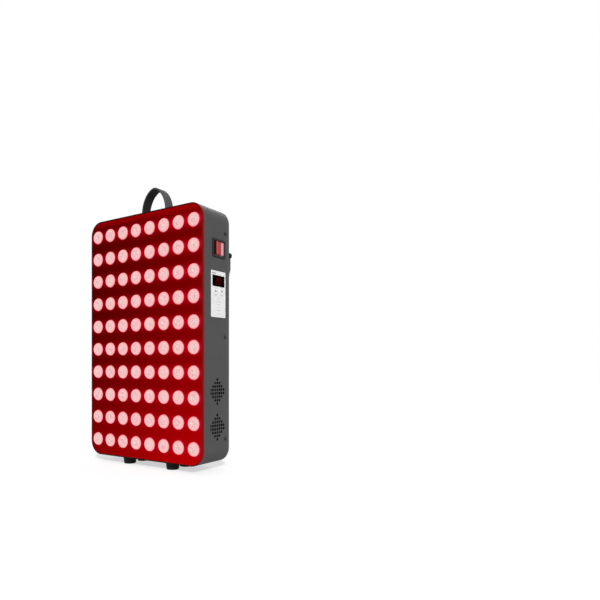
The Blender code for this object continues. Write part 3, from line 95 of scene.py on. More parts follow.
RIM_FADE = (0.0004, 0.0014)
GLOW_RED = (0.18, 0.002, 0.003)
GLOW_FADE = (0.0010, 0.0060)
GLOW_CORNER = (0.0120, 0.0010)
# Painted shade for the walls of the vent holes, starting a little in from the outer face.
VENT_SHADE = (0.001, 0.001, 0.001)
VENT_SHADE_SETBACK = 0.0001
GRAIN = 0.0006
GRAIN_RELIEF = 0.00002
GRAIN_STRENGTH = 0.6
DRIFT = 0.10
DRIFT_SCALE = 14.0
SMUDGE_SCALE = 75.0
SMUDGE_SWING = 0.16
SIDES = (("right", 1), ("left", -1))
SIDE_SCREWS = {
    side: [f"side_screw_{side}_{level}" for level in ("upper", "middle", "lower")] for side, _ in SIDES
}
FOOT_PLACES = [f"{row}_{side}" for row in ("front", "rear") for side in ("left", "right")]
QUARTER = math.pi / 2
AIMS = {"up": (0, 0), "down": (2, 0), "front": (1, 0), "back": (1, 2), "right": (1, 1), "left": (1, -1)}

case_low, case_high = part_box("case_shell")
case_middle = (case_low + case_high) / 2
half_width = case_high.x
half_height = (case_high.z - case_low.z) / 2


def turned(aim):
    """The turn that points a piece's own +Z to the side that it faces, from quarter turns about X and Z."""
    tilt, spin = AIMS[aim]
    return Euler((tilt * QUARTER, 0, spin * QUARTER)).to_matrix()


def aimed(aim, spot):
    """The place for a piece made about the origin, turned to the side that it faces."""
    return Matrix.Translation(spot) @ turned(aim).to_4x4()


def face_centre(name, aim):
    """The middle of a CAD node's box, on the side that it faces."""
    low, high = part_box(name)
    way = turned(aim) @ Vector((0, 0, 1))
    half = (high - low) / 2
    return low + half + Vector((half.x * way.x, half.y * way.y, half.z * way.z))


def size_of(name):
    """A CAD node's width, depth and height."""
    low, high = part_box(name)
    return [top - bottom for bottom, top in zip(low, high)]


def halves_of(name, aim):
    """Half of a CAD node's way across and up, seen from the front or the right."""
    width, depth, height = size_of(name)
    return (depth if aim == "right" else width) / 2, height / 2


def linked(name, data):
    """A new object in the scene that carries the data."""
    made = bpy.data.objects.new(name, data)
    bpy.context.scene.collection.objects.link(made)
    return made


def discarded(*shapes):
    for shape in shapes:
        bpy.data.objects.remove(shape, do_unlink=True)


def new_piece(name, build, place=Matrix()):
    """Turns a bmesh into an object at the origin, with its place in its mesh."""
    bmesh.ops.recalc_face_normals(build, faces=build.faces)
    mesh = bpy.data.meshes.new(name)
    build.to_mesh(mesh)
    build.free()
    mesh.transform(place)
    return linked(name, mesh)


def settled(shape, name):
    """The shape's modifiers worked into one plain mesh at the origin."""
    bpy.context.view_layer.update()
    graph = bpy.context.evaluated_depsgraph_get()
    mesh = bpy.data.meshes.new_from_object(shape.evaluated_get(graph), depsgraph=graph)
    mesh.transform(shape.matrix_world)
    discarded(shape, *[step.object for step in shape.modifiers if step.type == "BOOLEAN"])
    return linked(name, mesh)


def worked(piece, operation, tools):
    for tool in tools:
        step = piece.modifiers.new(operation.lower(), "BOOLEAN")
        step.operation, step.solver, step.object = operation, "EXACT", tool
    return settled(piece, piece.name)


def cut(piece, *tools):
    """Cuts the tools out of the piece."""
    return worked(piece, "DIFFERENCE", tools)


def finished(piece, finish, body="panel", nodes=()):
    """Gives a piece its finish, smooth faces and place on its body, in place of the CAD nodes."""
    if finish:
        piece.data.materials.clear()
        piece.data.materials.append(finish)
    piece.data.shade_smooth()
    piece.data.set_sharp_from_angle(angle=SMOOTH_ANGLE)
    step = piece.modifiers.new("flat_faces", "WEIGHTED_NORMAL")
    step.keep_sharp = True
    piece = settled(piece, piece.name)
    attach(piece, body)
    if nodes:
        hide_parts(*nodes)
    return piece


def lofted(name, rings, place=Matrix(), closed=False):
    """A skin through rings of points, filled at both ends unless the last ring meets the first."""
    build = bmesh.new()
    loops = [[build.verts.new(point) for point in ring] for ring in rings]
    following = loops[1:] + loops[:1] if closed else loops[1:]
    for loop, other in zip(loops, following):
        for i in range(len(loop)):
            j = (i + 1) % len(loop)
            build.faces.new((loop[i], loop[j], other[j], other[i]))
    if not closed:
        build.faces.new(loops[0])
        build.faces.new(loops[-1])
    bmesh.ops.remove_doubles(build, verts=build.verts, dist=WELD)
    return new_piece(name, build, place)


def skin(name, halves, radius, stations, place=Matrix(), closed=False, steps=CORNER_STEPS):
    """A rounded rectangle of those half sizes, drawn through (inset, height) stations."""
    rings = []
    for inset, height in stations:
        across, up, bend = halves[0] - inset, halves[1] - inset, max(radius - inset, 0)
        ring = []
        for corner, (side, rise) in enumerate(((1, 1), (-1, 1), (-1, -1), (1, -1))):
            for step in range(steps + 1):
                turn = (corner + step / steps) * QUARTER
                x = side * (across - bend) + bend * math.cos(turn)
                ring.append((x, rise * (up - bend) + bend * math.sin(turn), height))
        rings.append(ring)
    return lofted(name, rings, place, closed)


def quarter(radius, steps=EDGE_STEPS):
    """(inset, drop) steps of a rounded edge, from the side wall up to the flat."""
    turns = [step / steps * QUARTER for step in range(steps + 1)]
    return [(radius * (1 - math.cos(t)), radius * (1 - math.sin(t))) for t in turns]


def block(size, centre=(0, 0, 0)):
    build = bmesh.new()
    bmesh.ops.create_cube(build, size=1.0, matrix=Matrix.Translation(centre) @ Matrix.Diagonal((*size, 1)))
    return new_piece("block", build)


def lathed(name, profile, sides, place=Matrix()):
    """A turned piece from (radius, height) points; a radius of 0 is a pole on the axis."""
    build = bmesh.new()
    rings = []
    for radius, height in profile:
        count = sides if radius > 0 else 1
        turns = [2 * math.pi * i / sides for i in range(count)]
        rings.append([build.verts.new((radius * math.cos(t), radius * math.sin(t), height)) for t in turns])
    for ring, other in zip(rings, rings[1:]):
        for i in range(sides):
            j = (i + 1) % sides
            corners = [ring[i % len(ring)], ring[j % len(ring)], other[j % len(other)], other[i % len(other)]]
            build.faces.new(list(dict.fromkeys(corners)))
    if len(rings[0]) > 1 and len(rings[-1]) > 1:
        for i in range(sides):
            j = (i + 1) % sides
            build.faces.new((rings[-1][i], rings[-1][j], rings[0][j], rings[0][i]))
    return new_piece(name, build, place)


def drill(radius, length, sides=HOLE_SIDES):
    """A straight tool about the origin, along Z."""
    end = length / 2
    return lathed("drill", ((0, end), (radius, end), (radius, -end), (0, -end)), sides)


class Reading:
    """A value in a node tree; sums written with it become Math nodes."""

    def __init__(self, socket):
        self.socket = socket

    def __add__(self, other):
        return maths("ADD", self, other)

    def __sub__(self, other):
        return maths("SUBTRACT", self, other)

    def __rsub__(self, other):
        return maths("SUBTRACT", other, self)

    def __mul__(self, other):
        return maths("MULTIPLY", self, other)

    def __truediv__(self, other):
        return maths("DIVIDE", self, other)

    def __abs__(self):
        return maths("ABSOLUTE", self)

    __radd__ = __add__
    __rmul__ = __mul__


def tree_of(*values):
    """The tree of the first reading among the values."""
    return next(value.socket.id_data for value in values if isinstance(value, Reading))


def feed(made, inputs):
    """Gives a node's inputs plain values, colours of three parts or readings."""
    for key, value in inputs.items():
        socket = made.inputs[key]
        if isinstance(value, Reading):
            made.id_data.links.new(value.socket, socket)
        else:
            socket.default_value = (*value, 1) if socket.type == "RGBA" else value


def node(tree, kind, inputs=(), **settings):
    """One node with its settings and inputs."""
    made = tree.nodes.new(kind)
    for key, value in settings.items():
        setattr(made, key, value)
    feed(made, dict(inputs))
    return made


def reading(tree, kind, inputs=(), output=0, **settings):
    """What one output of a new node gives."""
    return Reading(node(tree, kind, inputs, **settings).outputs[output])


def readings(made):
    """What a node's outputs give, by their names."""
    return {socket.name: Reading(socket) for socket in made.outputs}


def maths(operation, *values):
    return reading(tree_of(*values), "ShaderNodeMath", enumerate(values), operation=operation)


def axes(place):
    """The three parts of a place."""
    return list(readings(node(tree_of(place), "ShaderNodeSeparateXYZ", {0: place})).values())


def from_axes(tree, **parts):
    """A place from its parts."""
    return reading(tree, "ShaderNodeCombineXYZ", parts)


def distance(across, up):
    return maths("SQRT", across * across + up * up)


def node_group(kind, name, inputs, outputs):
    """An empty node group with named inputs and outputs, and what its inputs give."""
    tree = bpy.data.node_groups.new(name, kind)
    for way, sockets in (("INPUT", inputs), ("OUTPUT", outputs)):
        for label, sort in sockets.items():
            tree.interface.new_socket(label.replace("_", " "), in_out=way, socket_type="NodeSocket" + sort)
    return tree, readings(tree.nodes.new("NodeGroupInput"))


def geometry_tree(name, **inputs):
    inputs = {"Geometry": "Geometry", **inputs, "Material": "Material"}
    return node_group("GeometryNodeTree", name, inputs, {"Geometry": "Geometry"})


def close_tree(tree, sizes, geometry):
    """Ends the tree in real meshes that carry the material."""
    real = reading(tree, "GeometryNodeRealizeInstances", {"Geometry": geometry})
    painted = reading(
        tree, "GeometryNodeSetMaterial", {"Geometry": real, "Material": sizes["Material"]}
    )
    node(tree, "NodeGroupOutput", {"Geometry": painted})
    return tree


def shape_of(thing):
    """The mesh of an object that a tree is given."""
    return reading(tree_of(thing), "GeometryNodeObjectInfo", {"Object": thing}, "Geometry")


def instanced(points, shape, **turns):
    """The shape set at every point."""
    inputs = {"Points": points, "Instance": shape, **turns}
    return reading(tree_of(points), "GeometryNodeInstanceOnPoints", inputs)


def drawn(name, points, edges=()):
    """Bare points, or a line of edges through them."""
    mesh = bpy.data.meshes.new(name)
    mesh.from_pydata(points, edges, [])
    return linked(name, mesh)


def grown(name, tree, place=Matrix(), start=(), **sizes):
    """A plain mesh grown by a tree from its sizes, and from the points or the piece that it starts from."""
    host = start if isinstance(start, bpy.types.Object) else drawn(name, start)
    host.matrix_world = place
    modifier = host.modifiers.new(name, "NODES")
    modifier.node_group = tree
    for item in tree.interface.items_tree:
        key = item.name.replace(" ", "_")
        if item.in_out == "INPUT" and sizes.get(key) is not None:
            modifier[item.identifier] = sizes[key]
    return settled(host, name)


GRID_SIZES = {"Columns": "Int", "Rows": "Int", "Column_pitch": "Float", "Row_pitch": "Float"}


def grid_of_places(tree, sizes):
    """Points on a grid of columns and rows."""
    return reading(tree, "GeometryNodeMeshGrid", {
        "Size X": (sizes["Columns"] - 1) * sizes["Column pitch"],
        "Size Y": (sizes["Rows"] - 1) * sizes["Row pitch"],
        "Vertices X": sizes["Columns"], "Vertices Y": sizes["Rows"],
    })


def vent_punches():
    """A diamond of punches: a hole stays where its steps across and up add up to the half span."""
    tree, sizes = geometry_tree("vent_punches", Punch="Object", **GRID_SIZES)
    x, y, _ = axes(reading(tree, "GeometryNodeInputPosition"))
    steps = abs(x / sizes["Column pitch"]) + abs(y / sizes["Row pitch"])
    outside = maths("GREATER_THAN", steps, sizes["Columns"] / 2 + DIAMOND_SLACK)
    grid = {"Geometry": grid_of_places(tree, sizes), "Selection": outside}
    kept = reading(tree, "GeometryNodeDeleteGeometry", grid)
    return close_tree(tree, sizes, instanced(kept, shape_of(sizes["Punch"])))


def set_at_points():
    """One shape set at every point that the tree starts from, such as holes or screws."""
    tree, sizes = geometry_tree("set_at_points", Shape="Object")
    return close_tree(tree, sizes, instanced(sizes["Geometry"], shape_of(sizes["Shape"])))


AT_POINTS = set_at_points()


def repeated(name, shape, aim, spots, finish=None):
    """Copies of a shape at spots in the world, turned to the side that they face; the shape is used up."""
    turn = turned(aim)
    points = [turn.inverted() @ Vector(spot) for spot in spots]
    made = grown(name, AT_POINTS, turn.to_4x4(), points, Shape=shape, Material=finish)
    discarded(shape)
    return made


def noise(place, scale, detail=2.0, **more):
    inputs = {"Vector": place, "Scale": scale, "Detail": detail, **more}
    return reading(tree_of(place), "ShaderNodeTexNoise", inputs)


def surface_life_group():
    """Slow drift in colour, smudges in roughness and a fine grain, as on any handled surface."""
    tree, given = node_group(
        "ShaderNodeTree", "surface_life",
        {"Vector": "Vector", "Colour": "Color", "Drift": "Float", "Roughness": "Float", "Grain": "Float"},
        {"Colour": "Color", "Roughness": "Float", "Height": "Float"},
    )
    slow = noise(given["Vector"], DRIFT_SCALE, detail=3.0)
    smudge = noise(given["Vector"], SMUDGE_SCALE, detail=4.0)
    fine = noise(given["Vector"], maths("DIVIDE", 1.0, given["Grain"]))
    level = (slow - 0.5) * given["Drift"] + (fine - 0.5) * given["Drift"] + 1.0
    node(tree, "NodeGroupOutput", {
        "Colour": scaled(given["Colour"], level),
        "Roughness": given["Roughness"] + (smudge - 0.5) * SMUDGE_SWING, "Height": fine,
    })
    return tree


def scaled(colour, level):
    inputs = {"Vector": colour, "Scale": level}
    return reading(tree_of(colour), "ShaderNodeVectorMath", inputs, "Vector", operation="SCALE")


SURFACE_LIFE = surface_life_group()


def object_place(tree):
    return reading(tree, "ShaderNodeTexCoord", output="Object")


def shader_of(made):
    return made.node_tree.nodes["Principled BSDF"]


def bumped(shader, height, strength, relief):
    """Raises the shader's surface by a height."""
    inputs = {"Height": height, "Strength": strength, "Distance": relief}
    feed(shader, {"Normal": reading(shader.id_data, "ShaderNodeBump", inputs)})


def principled(name, colour, sockets):
    """A new Principled material with its sockets' plain values, its tree and its shader."""
    made = bpy.data.materials.new(name)
    made.use_nodes = True
    made.diffuse_color = (*colour, 1)
    shader = shader_of(made)
    feed(shader, sockets)
    return made, made.node_tree, shader


def material(name, colour, roughness, grain=GRAIN, relief=GRAIN_RELIEF, drift=DRIFT, **sockets):
    """A Principled material whose colour, roughness and relief live; sockets are its other values."""
    plain = {label.replace("_", " "): value for label, value in sockets.items()}
    made, tree, shader = principled(name, colour, plain)
    inputs = {
        "Vector": object_place(tree), "Colour": colour, "Drift": drift, "Roughness": roughness,
        "Grain": grain,
    }
    life = readings(node(tree, "ShaderNodeGroup", inputs, node_tree=SURFACE_LIFE))
    feed(shader, {"Base Color": life["Colour"], "Roughness": life["Roughness"]})
    bumped(shader, life["Height"], GRAIN_STRENGTH, relief)
    return made


def blended(share, first, second, blend="MIX"):
    """A colour between two others."""
    return reading(
        tree_of(share, first, second), "ShaderNodeMix", {0: share, 6: first, 7: second}, 2,
        data_type="RGBA", blend_type=blend,
    )


def faded(value, start, end, low=0.0, high=1.0):
    """The value's way from start to end, as a soft step from low to high."""
    inputs = {"Value": value, "From Min": start, "From Max": end, "To Min": low, "To Max": high}
    return reading(tree_of(value), "ShaderNodeMapRange", inputs, interpolation_type="SMOOTHSTEP")


def overlaid(made, mask, paint):
    """Lays paint or ink over a material's own colour where the mask is 1."""
    shader = shader_of(made)
    ground = Reading(shader.inputs["Base Color"].links[0].from_socket)
    feed(shader, {"Base Color": blended(mask, ground, paint)})
    return made


def powder_coat(name):
    """Satin grey powder coat, with the lamps' red light painted on its front edge and painted shade in the
    vent holes.
    """
    made = material(name, CASE_GREY, roughness=0.55, relief=0.00006, Specular_IOR_Level=0.05)
    x, y, z = axes(object_place(made.node_tree))
    rim = faded(y, case_low.y + RIM_FADE[0], case_low.y + RIM_FADE[1], 1.0, 0.0)
    glow = faded(y, case_low.y + GLOW_FADE[0], case_low.y + GLOW_FADE[1], 1.0, 0.0)
    spill = glow * faded(x, half_width - GLOW_CORNER[0], half_width - GLOW_CORNER[1])
    # Painted shade: the walls of the vent holes are darkened as if in shadow.
    beside = maths("COMPARE", y, vent_y, VENT_COLUMNS * VENT_PITCH / 2)
    sunk = maths("COMPARE", x, half_width - WALL / 2 - VENT_SHADE_SETBACK, WALL / 2)
    levels = [maths("COMPARE", z, case_low.z + rise, VENT_ROWS * VENT_PITCH / 2) for rise in VENT_RISES]
    # Painted light: the lamps' red light on the front rounding and near the right corner, laid into the
    # colour and the emission.
    overlaid(made, maths("MAXIMUM", rim, spill), RIM_LAMP_RED)
    overlaid(made, beside * sunk * maths("MAXIMUM", *levels), VENT_SHADE)
    glow = blended(spill, (0, 0, 0), GLOW_RED)
    feed(shader_of(made), {"Emission Color": glow, "Emission Strength": 1.0})
    return made


vent_y = case_low.y + VENT_SETBACK
case_paint = powder_coat("case_powder_coat")
lip_front = case_low.y + LIP_DEPTH
section = [(inset, case_low.y + drop) for inset, drop in reversed(quarter(EDGE_ROUNDING))] + [
    (0, case_high.y), (WALL, case_high.y), (WALL, lip_front + WALL), (WALL + LIP_WIDTH, lip_front + WALL),
    (WALL + LIP_WIDTH, lip_front), (WALL, lip_front), (WALL, case_low.y),
]
about_middle = aimed("back", (0, 0, case_middle.z))
case = skin("case_band", (half_width, half_height), CORNER_RADIUS, section, about_middle, closed=True)
punches = vent_punches()
punch = lathed("punch", (
    (0, VENT_FLARE), (VENT_RADIUS + 2 * VENT_FLARE, VENT_FLARE), (VENT_RADIUS, -VENT_FLARE),
    (VENT_RADIUS, -2 * WALL), (0, -2 * WALL),
), PUNCH_SIDES)
for rise in VENT_RISES:
    case = cut(case, grown(
        "vent_tool", punches, aimed("right", (half_width, vent_y, case_low.z + rise)), Punch=punch,
        Columns=VENT_COLUMNS, Rows=VENT_ROWS, Column_pitch=VENT_PITCH, Row_pitch=VENT_PITCH,
    ))
discarded(punch)
switch_middle = face_centre("switch_housing", "right")
window_middle = face_centre("display_window", "right")
control_z = window_middle.z - CONTROL_OPENING_DROP
openings = [
    block((4 * WALL, *SWITCH_OPENING), (half_width, switch_middle.y, switch_middle.z)),
    block((4 * WALL, *CONTROL_OPENING), (half_width, window_middle.y, control_z)),
]
for aim, names, radius, axis, level in (
    ("right", SIDE_SCREWS["right"], SIDE_HOLE, 0, half_width),
    ("left", SIDE_SCREWS["left"], SIDE_HOLE, 0, -half_width),
    ("up", ["handle_screw_left", "handle_screw_right"], SOLE_HOLE, 2, case_high.z),
    ("down", [f"foot_screw_{place}" for place in FOOT_PLACES], SOLE_HOLE, 2, case_low.z),
):
    spots = [face_centre(name, aim) for name in names]
    for spot in spots:
        spot[axis] = level
    openings.append(repeated("screw_holes", drill(radius, 4 * WALL), aim, spots))
finished(cut(case, *openings), case_paint, nodes=["case_shell"])

# Heat sink. One aluminium extrusion with upright fins behind the lamp boards, drawn through a die and sawn
# to length, so it carries fine lines along its fins. The driver's housing is the same bare metal.
DIE_LINE_STRETCH = (1, 1, 0.01)
DIE_LINE_SCALE = 2500.0
DIE_LINE_BUMP = (0.5, 0.00003)


def drawn_metal(name, colour, roughness):
    """Bare extruded aluminium with die lines that run up it."""
    made = material(name, colour, roughness, grain=0.0004, drift=0.08, Metallic=1.0)
    tree = made.node_tree
    inputs = {"Vector": object_place(tree), "Scale": DIE_LINE_STRETCH}
    lines = noise(reading(tree, "ShaderNodeMapping", inputs), DIE_LINE_SCALE)
    bumped(shader_of(made), lines, *DIE_LINE_BUMP)
    return made


def dressed(finish, slot, *names):
    """Keeps the CAD nodes' own shapes and gives them their finish."""
    for name in names:
        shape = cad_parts[name]
        shape.data.materials.clear()
        shape.data.materials.append(finish)


aluminium = drawn_metal("bare_aluminium", (0.24, 0.245, 0.25), roughness=0.60)
dressed(aluminium, "bare_aluminium", "heat_sink", "lamp_driver")

# Lamp boards. Two aluminium-backed circuit boards under a white solder mask, with a lamp package soldered
# behind every lens. The small green board behind the control plate carries the display and the key switches.
board_white = material("board_white_mask", (0.75, 0.75, 0.72), roughness=0.45, grain=0.0008)
board_green = material("board_green_mask", (0.010, 0.075, 0.030), roughness=0.40, grain=0.0008)
dressed(board_white, "board_white", "lamp_board_upper", "lamp_board_lower")
dressed(board_green, "board_green", "control_board")

# Wires. Three runs of copper strand in black sleeves, crimped at both ends, from the inlet to the switch, on
# to the driver and from there to the lamps.
wire_black = material("wire_sleeve", (0.015, 0.015, 0.015), roughness=0.50)
dressed(wire_black, "wire_black", "wire_inlet_to_switch", "wire_switch_to_driver", "wire_driver_to_lamps")

# Lenses. Clear moulded webs with two rows of round lenses, whose crowns stand proud of the face plate. Each
# glows pale pink, greyer towards its middle, where the dark specks of the lamp behind it show through.
LENS_RADIUS = 0.010
LENS_CROWN = 0.0025
LENS_SIDES = 40
WEB_MARGIN = 0.00175
WEB_THICKNESS = 0.0018
WEB_SETBACK = 0.0026
COLUMNS = 8
ROWS_PER_PLATE = 2
PLATES = 5
LENS_PROFILE = (
    (0, LENS_CROWN), (0.0030, 0.00246), (0.0058, 0.00230), (0.0076, 0.00205), (0.0088, 0.00165),
    (0.0095, 0.00115), (0.0098, 0.0006), (LENS_RADIUS, 0.0), (LENS_RADIUS, -0.0030), (0, -0.0030),
)
LENS_TINTS = (
    (0.00, (0.98, 0.63, 0.64)), (0.16, (0.95, 0.59, 0.59)), (0.36, (0.88, 0.57, 0.56)),
    (0.44, (0.80, 0.48, 0.49)), (0.50, (0.89, 0.55, 0.54)), (0.70, (1.00, 0.54, 0.53)),
    (0.90, (1.00, 0.43, 0.45)), (1.00, (0.80, 0.18, 0.22)),
)
MOTTLE_TINTS = (
    (0.34, (0.82, 0.64, 0.80)), (0.44, (0.97, 0.86, 0.94)), (0.52, (0.94, 1.02, 0.97)),
    (0.64, (1.00, 1.24, 1.14)),
)
MOTTLE_SCALE = 330.0
MOTTLE_FADE = (0.35, 0.95)
LENS_LEAN = 0.12
RIPPLES = 7000.0
RIPPLE_BUMP = (0.25, 0.00004)
CHIP_FADE = (0.00042, 0.00098)
CHIP_SPREAD = ((0.0028, 0.0022), (-0.0012, -0.0026))
CHIP_TINT = (0.30, 0.16, 0.24)
CHIP_WEIGHT = 0.70

web_halves = halves_of("lens_plate_1", "front")
COLUMN_PITCH = 2 * (web_halves[0] - LENS_RADIUS - WEB_MARGIN) / (COLUMNS - 1)
ROW_PITCH = 2 * (web_halves[1] - LENS_RADIUS - WEB_MARGIN)
LENS_GRID = {"Columns": COLUMNS, "Column_pitch": COLUMN_PITCH, "Row_pitch": ROW_PITCH}


def joined(*parts):
    """Several geometries as one."""
    tree = tree_of(*parts)
    both = node(tree, "GeometryNodeJoinGeometry")
    for part in parts:
        tree.links.new(part.socket, both.inputs[0])
    return Reading(both.outputs[0])


def lens_field_tree():
    """A clear web with lenses standing on a grid of points."""
    tree, sizes = geometry_tree("lens_field", Lens="Object", **GRID_SIZES)
    lenses = instanced(grid_of_places(tree, sizes), shape_of(sizes["Lens"]))
    return close_tree(tree, sizes, joined(lenses, sizes["Geometry"]))


def lamp_cell_group():
    """Where a point lies about its nearest lens: across, up, its distance and a number for the lens."""
    tree, given = node_group(
        "ShaderNodeTree", "lamp_cell",
        {"Vector": "Vector", "Column pitch": "Float", "Row pitch": "Float", "Middle": "Float"},
        {"Across": "Float", "Up": "Float", "Radius": "Float", "Cell": "Vector"},
    )
    x, _, z = axes(given["Vector"])
    offsets, cells = [], []
    for value, pitch in ((x, given["Column pitch"]), (z - given["Middle"], given["Row pitch"])):
        share = value / pitch + 0.5
        cells.append(maths("ROUND", share))
        offsets.append((share - cells[-1]) * pitch)
    across, up = offsets
    node(tree, "NodeGroupOutput", {
        "Across": across, "Up": up, "Radius": distance(across, up),
        "Cell": from_axes(tree, X=cells[0], Y=cells[1]),
    })
    return tree


LAMP_CELL = lamp_cell_group()


def lamp_cell(tree):
    inputs = {
        "Vector": object_place(tree), "Column pitch": COLUMN_PITCH, "Row pitch": ROW_PITCH,
        "Middle": case_middle.z,
    }
    return readings(node(tree, "ShaderNodeGroup", inputs, node_tree=LAMP_CELL))


def ramp(value, stops):
    """Colours at places from 0 to 1."""
    made = node(tree_of(value), "ShaderNodeValToRGB", {0: value})
    for element, (place, colour) in zip(made.color_ramp.elements, (stops[0], stops[-1])):
        element.position = place
        element.color = (*colour, 1)
    for place, colour in stops[1:-1]:
        made.color_ramp.elements.new(place).color = (*colour, 1)
    return Reading(made.outputs[0])


def chip_specks(tree, cell):
    """Small dark lamp chips near the lens's middle, each a little off in its own way."""
    chance = reading(
        tree, "ShaderNodeTexWhiteNoise", {"Vector": cell["Cell"]}, "Color", noise_dimensions="3D"
    )
    drift_x, drift_z, _ = readings(node(tree, "ShaderNodeSeparateColor", {0: chance})).values()
    masks = []
    for across, up in CHIP_SPREAD:
        reach = distance(cell["Across"] - drift_x * across, cell["Up"] - drift_z * up)
        masks.append(faded(reach, *CHIP_FADE, 1.0, 0.0))
    return maths("MAXIMUM", *masks)


def lens_material():
    """Clear plastic lit from behind: pink at the rim, a grey mottle inside and dark lamp specks."""
    made, tree, shader = principled("lit_lens", (1, 0.5, 0.5), {
        "Base Color": (0.04, 0.01, 0.01), "Roughness": 0.32, "Specular IOR Level": 0.3,
        "Emission Strength": 0.95,
    })
    cell = lamp_cell(tree)
    span = (cell["Radius"] - cell["Across"] * LENS_LEAN) / LENS_RADIUS
    mottle = ramp(noise(object_place(tree), MOTTLE_SCALE, detail=3.0, Roughness=0.7), MOTTLE_TINTS)
    inside = blended(faded(span, *MOTTLE_FADE, 1.0, 0.0), (1, 1, 1), mottle)
    lit = blended(1.0, ramp(span, LENS_TINTS), inside, "MULTIPLY")
    feed(shader, {"Emission Color": blended(chip_specks(tree, cell) * CHIP_WEIGHT, lit, CHIP_TINT)})
    bumped(shader, maths("SINE", cell["Radius"] * RIPPLES), *RIPPLE_BUMP)
    return made


lit_lens = lens_material()
lens_field = lens_field_tree()
one_lens = lathed("one_lens", LENS_PROFILE, LENS_SIDES)
web_ends = ((0, -WEB_SETBACK - WEB_THICKNESS), (0, -WEB_SETBACK))
for number in range(1, PLATES + 1):
    low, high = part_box(f"lens_plate_{number}")
    piece = grown(
        f"lenses_{number}", lens_field, aimed("front", (0, low.y + LENS_CROWN, (low.z + high.z) / 2)),
        skin("web", web_halves, LENS_RADIUS, web_ends, steps=8), Lens=one_lens, Rows=ROWS_PER_PLATE,
        Material=lit_lens, **LENS_GRID,
    )
    finished(piece, None, nodes=[f"lens_plate_{number}"])
discarded(one_lens)

# Face plate. A glossy sheet punched with a round hole for every lens, dropped into the front of the case. The
# lamps light it from behind its lenses: bright red along each row, with dark bands between the rows.
FACE_THICKNESS = 0.002
FACE_HOLE = 0.0103
FACE_HOLE_SIDES = 48
BAND_RED = 0.107
BAND_LEAN = 0.045
BAND_DEPTH = 0.22
BAND_TURN = 0.12
BAND_POWER = 3.0
ROW_RED = 0.40
ROW_LEAN = 0.11
ROW_SHARPNESS = 5.5
TOP_GLOW = 0.13
TOP_FADE = (0.30, 0.55)
HALO = 0.12
HALO_FADE = (0.0100, 0.0130)
FLARE_START = 0.4
FLARE_GREEN = 0.08
FLARE_BLUE = 0.30
LEVEL_BLUE = 0.003
ROW_BLUE = 0.0035
CLOUD_SCALE = 130.0
CLOUD = (0.88, 0.24)


def circle(tree, sides, radius):
    return reading(tree, "GeometryNodeCurvePrimitiveCircle", {"Resolution": sides, "Radius": radius})


def perforated_plate_tree():
    """A filled outline with round holes on a grid, drawn out to its thickness."""
    tree, sizes = geometry_tree(
        "perforated_plate", Width="Float", Height="Float", Corner_radius="Float", Thickness="Float",
        Hole_radius="Float", Hole_sides="Int", **GRID_SIZES,
    )
    outline = reading(
        tree, "GeometryNodeCurvePrimitiveQuadrilateral", {"Width": sizes["Width"], "Height": sizes["Height"]}
    )
    rounded = reading(
        tree, "GeometryNodeFilletCurve",
        {"Curve": outline, "Radius": sizes["Corner radius"], "Count": CORNER_STEPS}, mode="POLY",
    )
    hole = circle(tree, sizes["Hole sides"], sizes["Hole radius"])
    holes = instanced(grid_of_places(tree, sizes), hole)
    real = reading(tree, "GeometryNodeRealizeInstances", {"Geometry": holes})
    flat = reading(tree, "GeometryNodeFillCurve", {"Curve": joined(real, rounded)})
    raised = reading(
        tree, "GeometryNodeExtrudeMesh",
        {"Mesh": flat, "Offset Scale": sizes["Thickness"], "Individual": False},
    )
    back = reading(tree, "GeometryNodeFlipFaces", {"Mesh": flat})
    welded = {"Geometry": joined(back, raised), "Distance": WELD}
    return close_tree(tree, sizes, reading(tree, "GeometryNodeMergeByDistance", welded))


def face_material():
    """Red sheet with the lamps' glow laid over it in rows, brighter to the right and lower down."""
    made, tree, shader = principled("lit_face", (0.42, 0, 0.006), {
        "Base Color": (0.02, 0.0, 0.0), "Roughness": 0.35, "Specular IOR Level": 0.0,
        "Emission Strength": 1.0,
    })
    cell = lamp_cell(tree)
    place = object_place(tree)
    x, _, z = axes(place)
    top_row = case_middle.z + (ROWS_PER_PLATE * PLATES - 1) / 2 * ROW_PITCH
    across = x / half_width
    lower = maths("MAXIMUM", (case_high.z - z) / (2 * half_height) + across * BAND_TURN, 0.0)
    band = across * BAND_LEAN + BAND_RED + maths("POWER", lower, BAND_POWER) * BAND_DEPTH
    from_row = cell["Up"] / (ROW_PITCH / 2)
    row = maths("POWER", math.e, from_row * from_row * -ROW_SHARPNESS)
    over = faded(z, *[top_row + share * ROW_PITCH for share in TOP_FADE], 0.0, TOP_GLOW)
    halo = faded(cell["Radius"], *HALO_FADE, HALO, 0.0)
    beside = faded(cell["Across"], 0.0, LENS_RADIUS)
    flare = halo * beside * maths("MAXIMUM", across + FLARE_START, 0.0)
    level = band + row * (across * ROW_LEAN + ROW_RED - band) + halo + over
    blue = level * LEVEL_BLUE + row * ROW_BLUE + flare * FLARE_BLUE
    cloud = noise(place, CLOUD_SCALE, detail=4.0) * CLOUD[1] + CLOUD[0]
    parts = {"Red": level * cloud, "Green": flare * FLARE_GREEN, "Blue": blue}
    feed(shader, {"Emission Color": reading(tree, "ShaderNodeCombineColor", parts)})
    return made


face_low, face_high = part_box("face_plate")
plate = grown(
    "face_sheet", perforated_plate_tree(), aimed("front", (0, face_high.y, case_middle.z)),
    Width=face_high.x - face_low.x, Height=face_high.z - face_low.z,
    Corner_radius=CORNER_RADIUS - face_low.x - half_width, Thickness=FACE_THICKNESS, Hole_radius=FACE_HOLE,
    Hole_sides=FACE_HOLE_SIDES, Rows=ROWS_PER_PLATE * PLATES, Material=face_material(), **LENS_GRID,
)
finished(plate, None, nodes=["face_plate"])

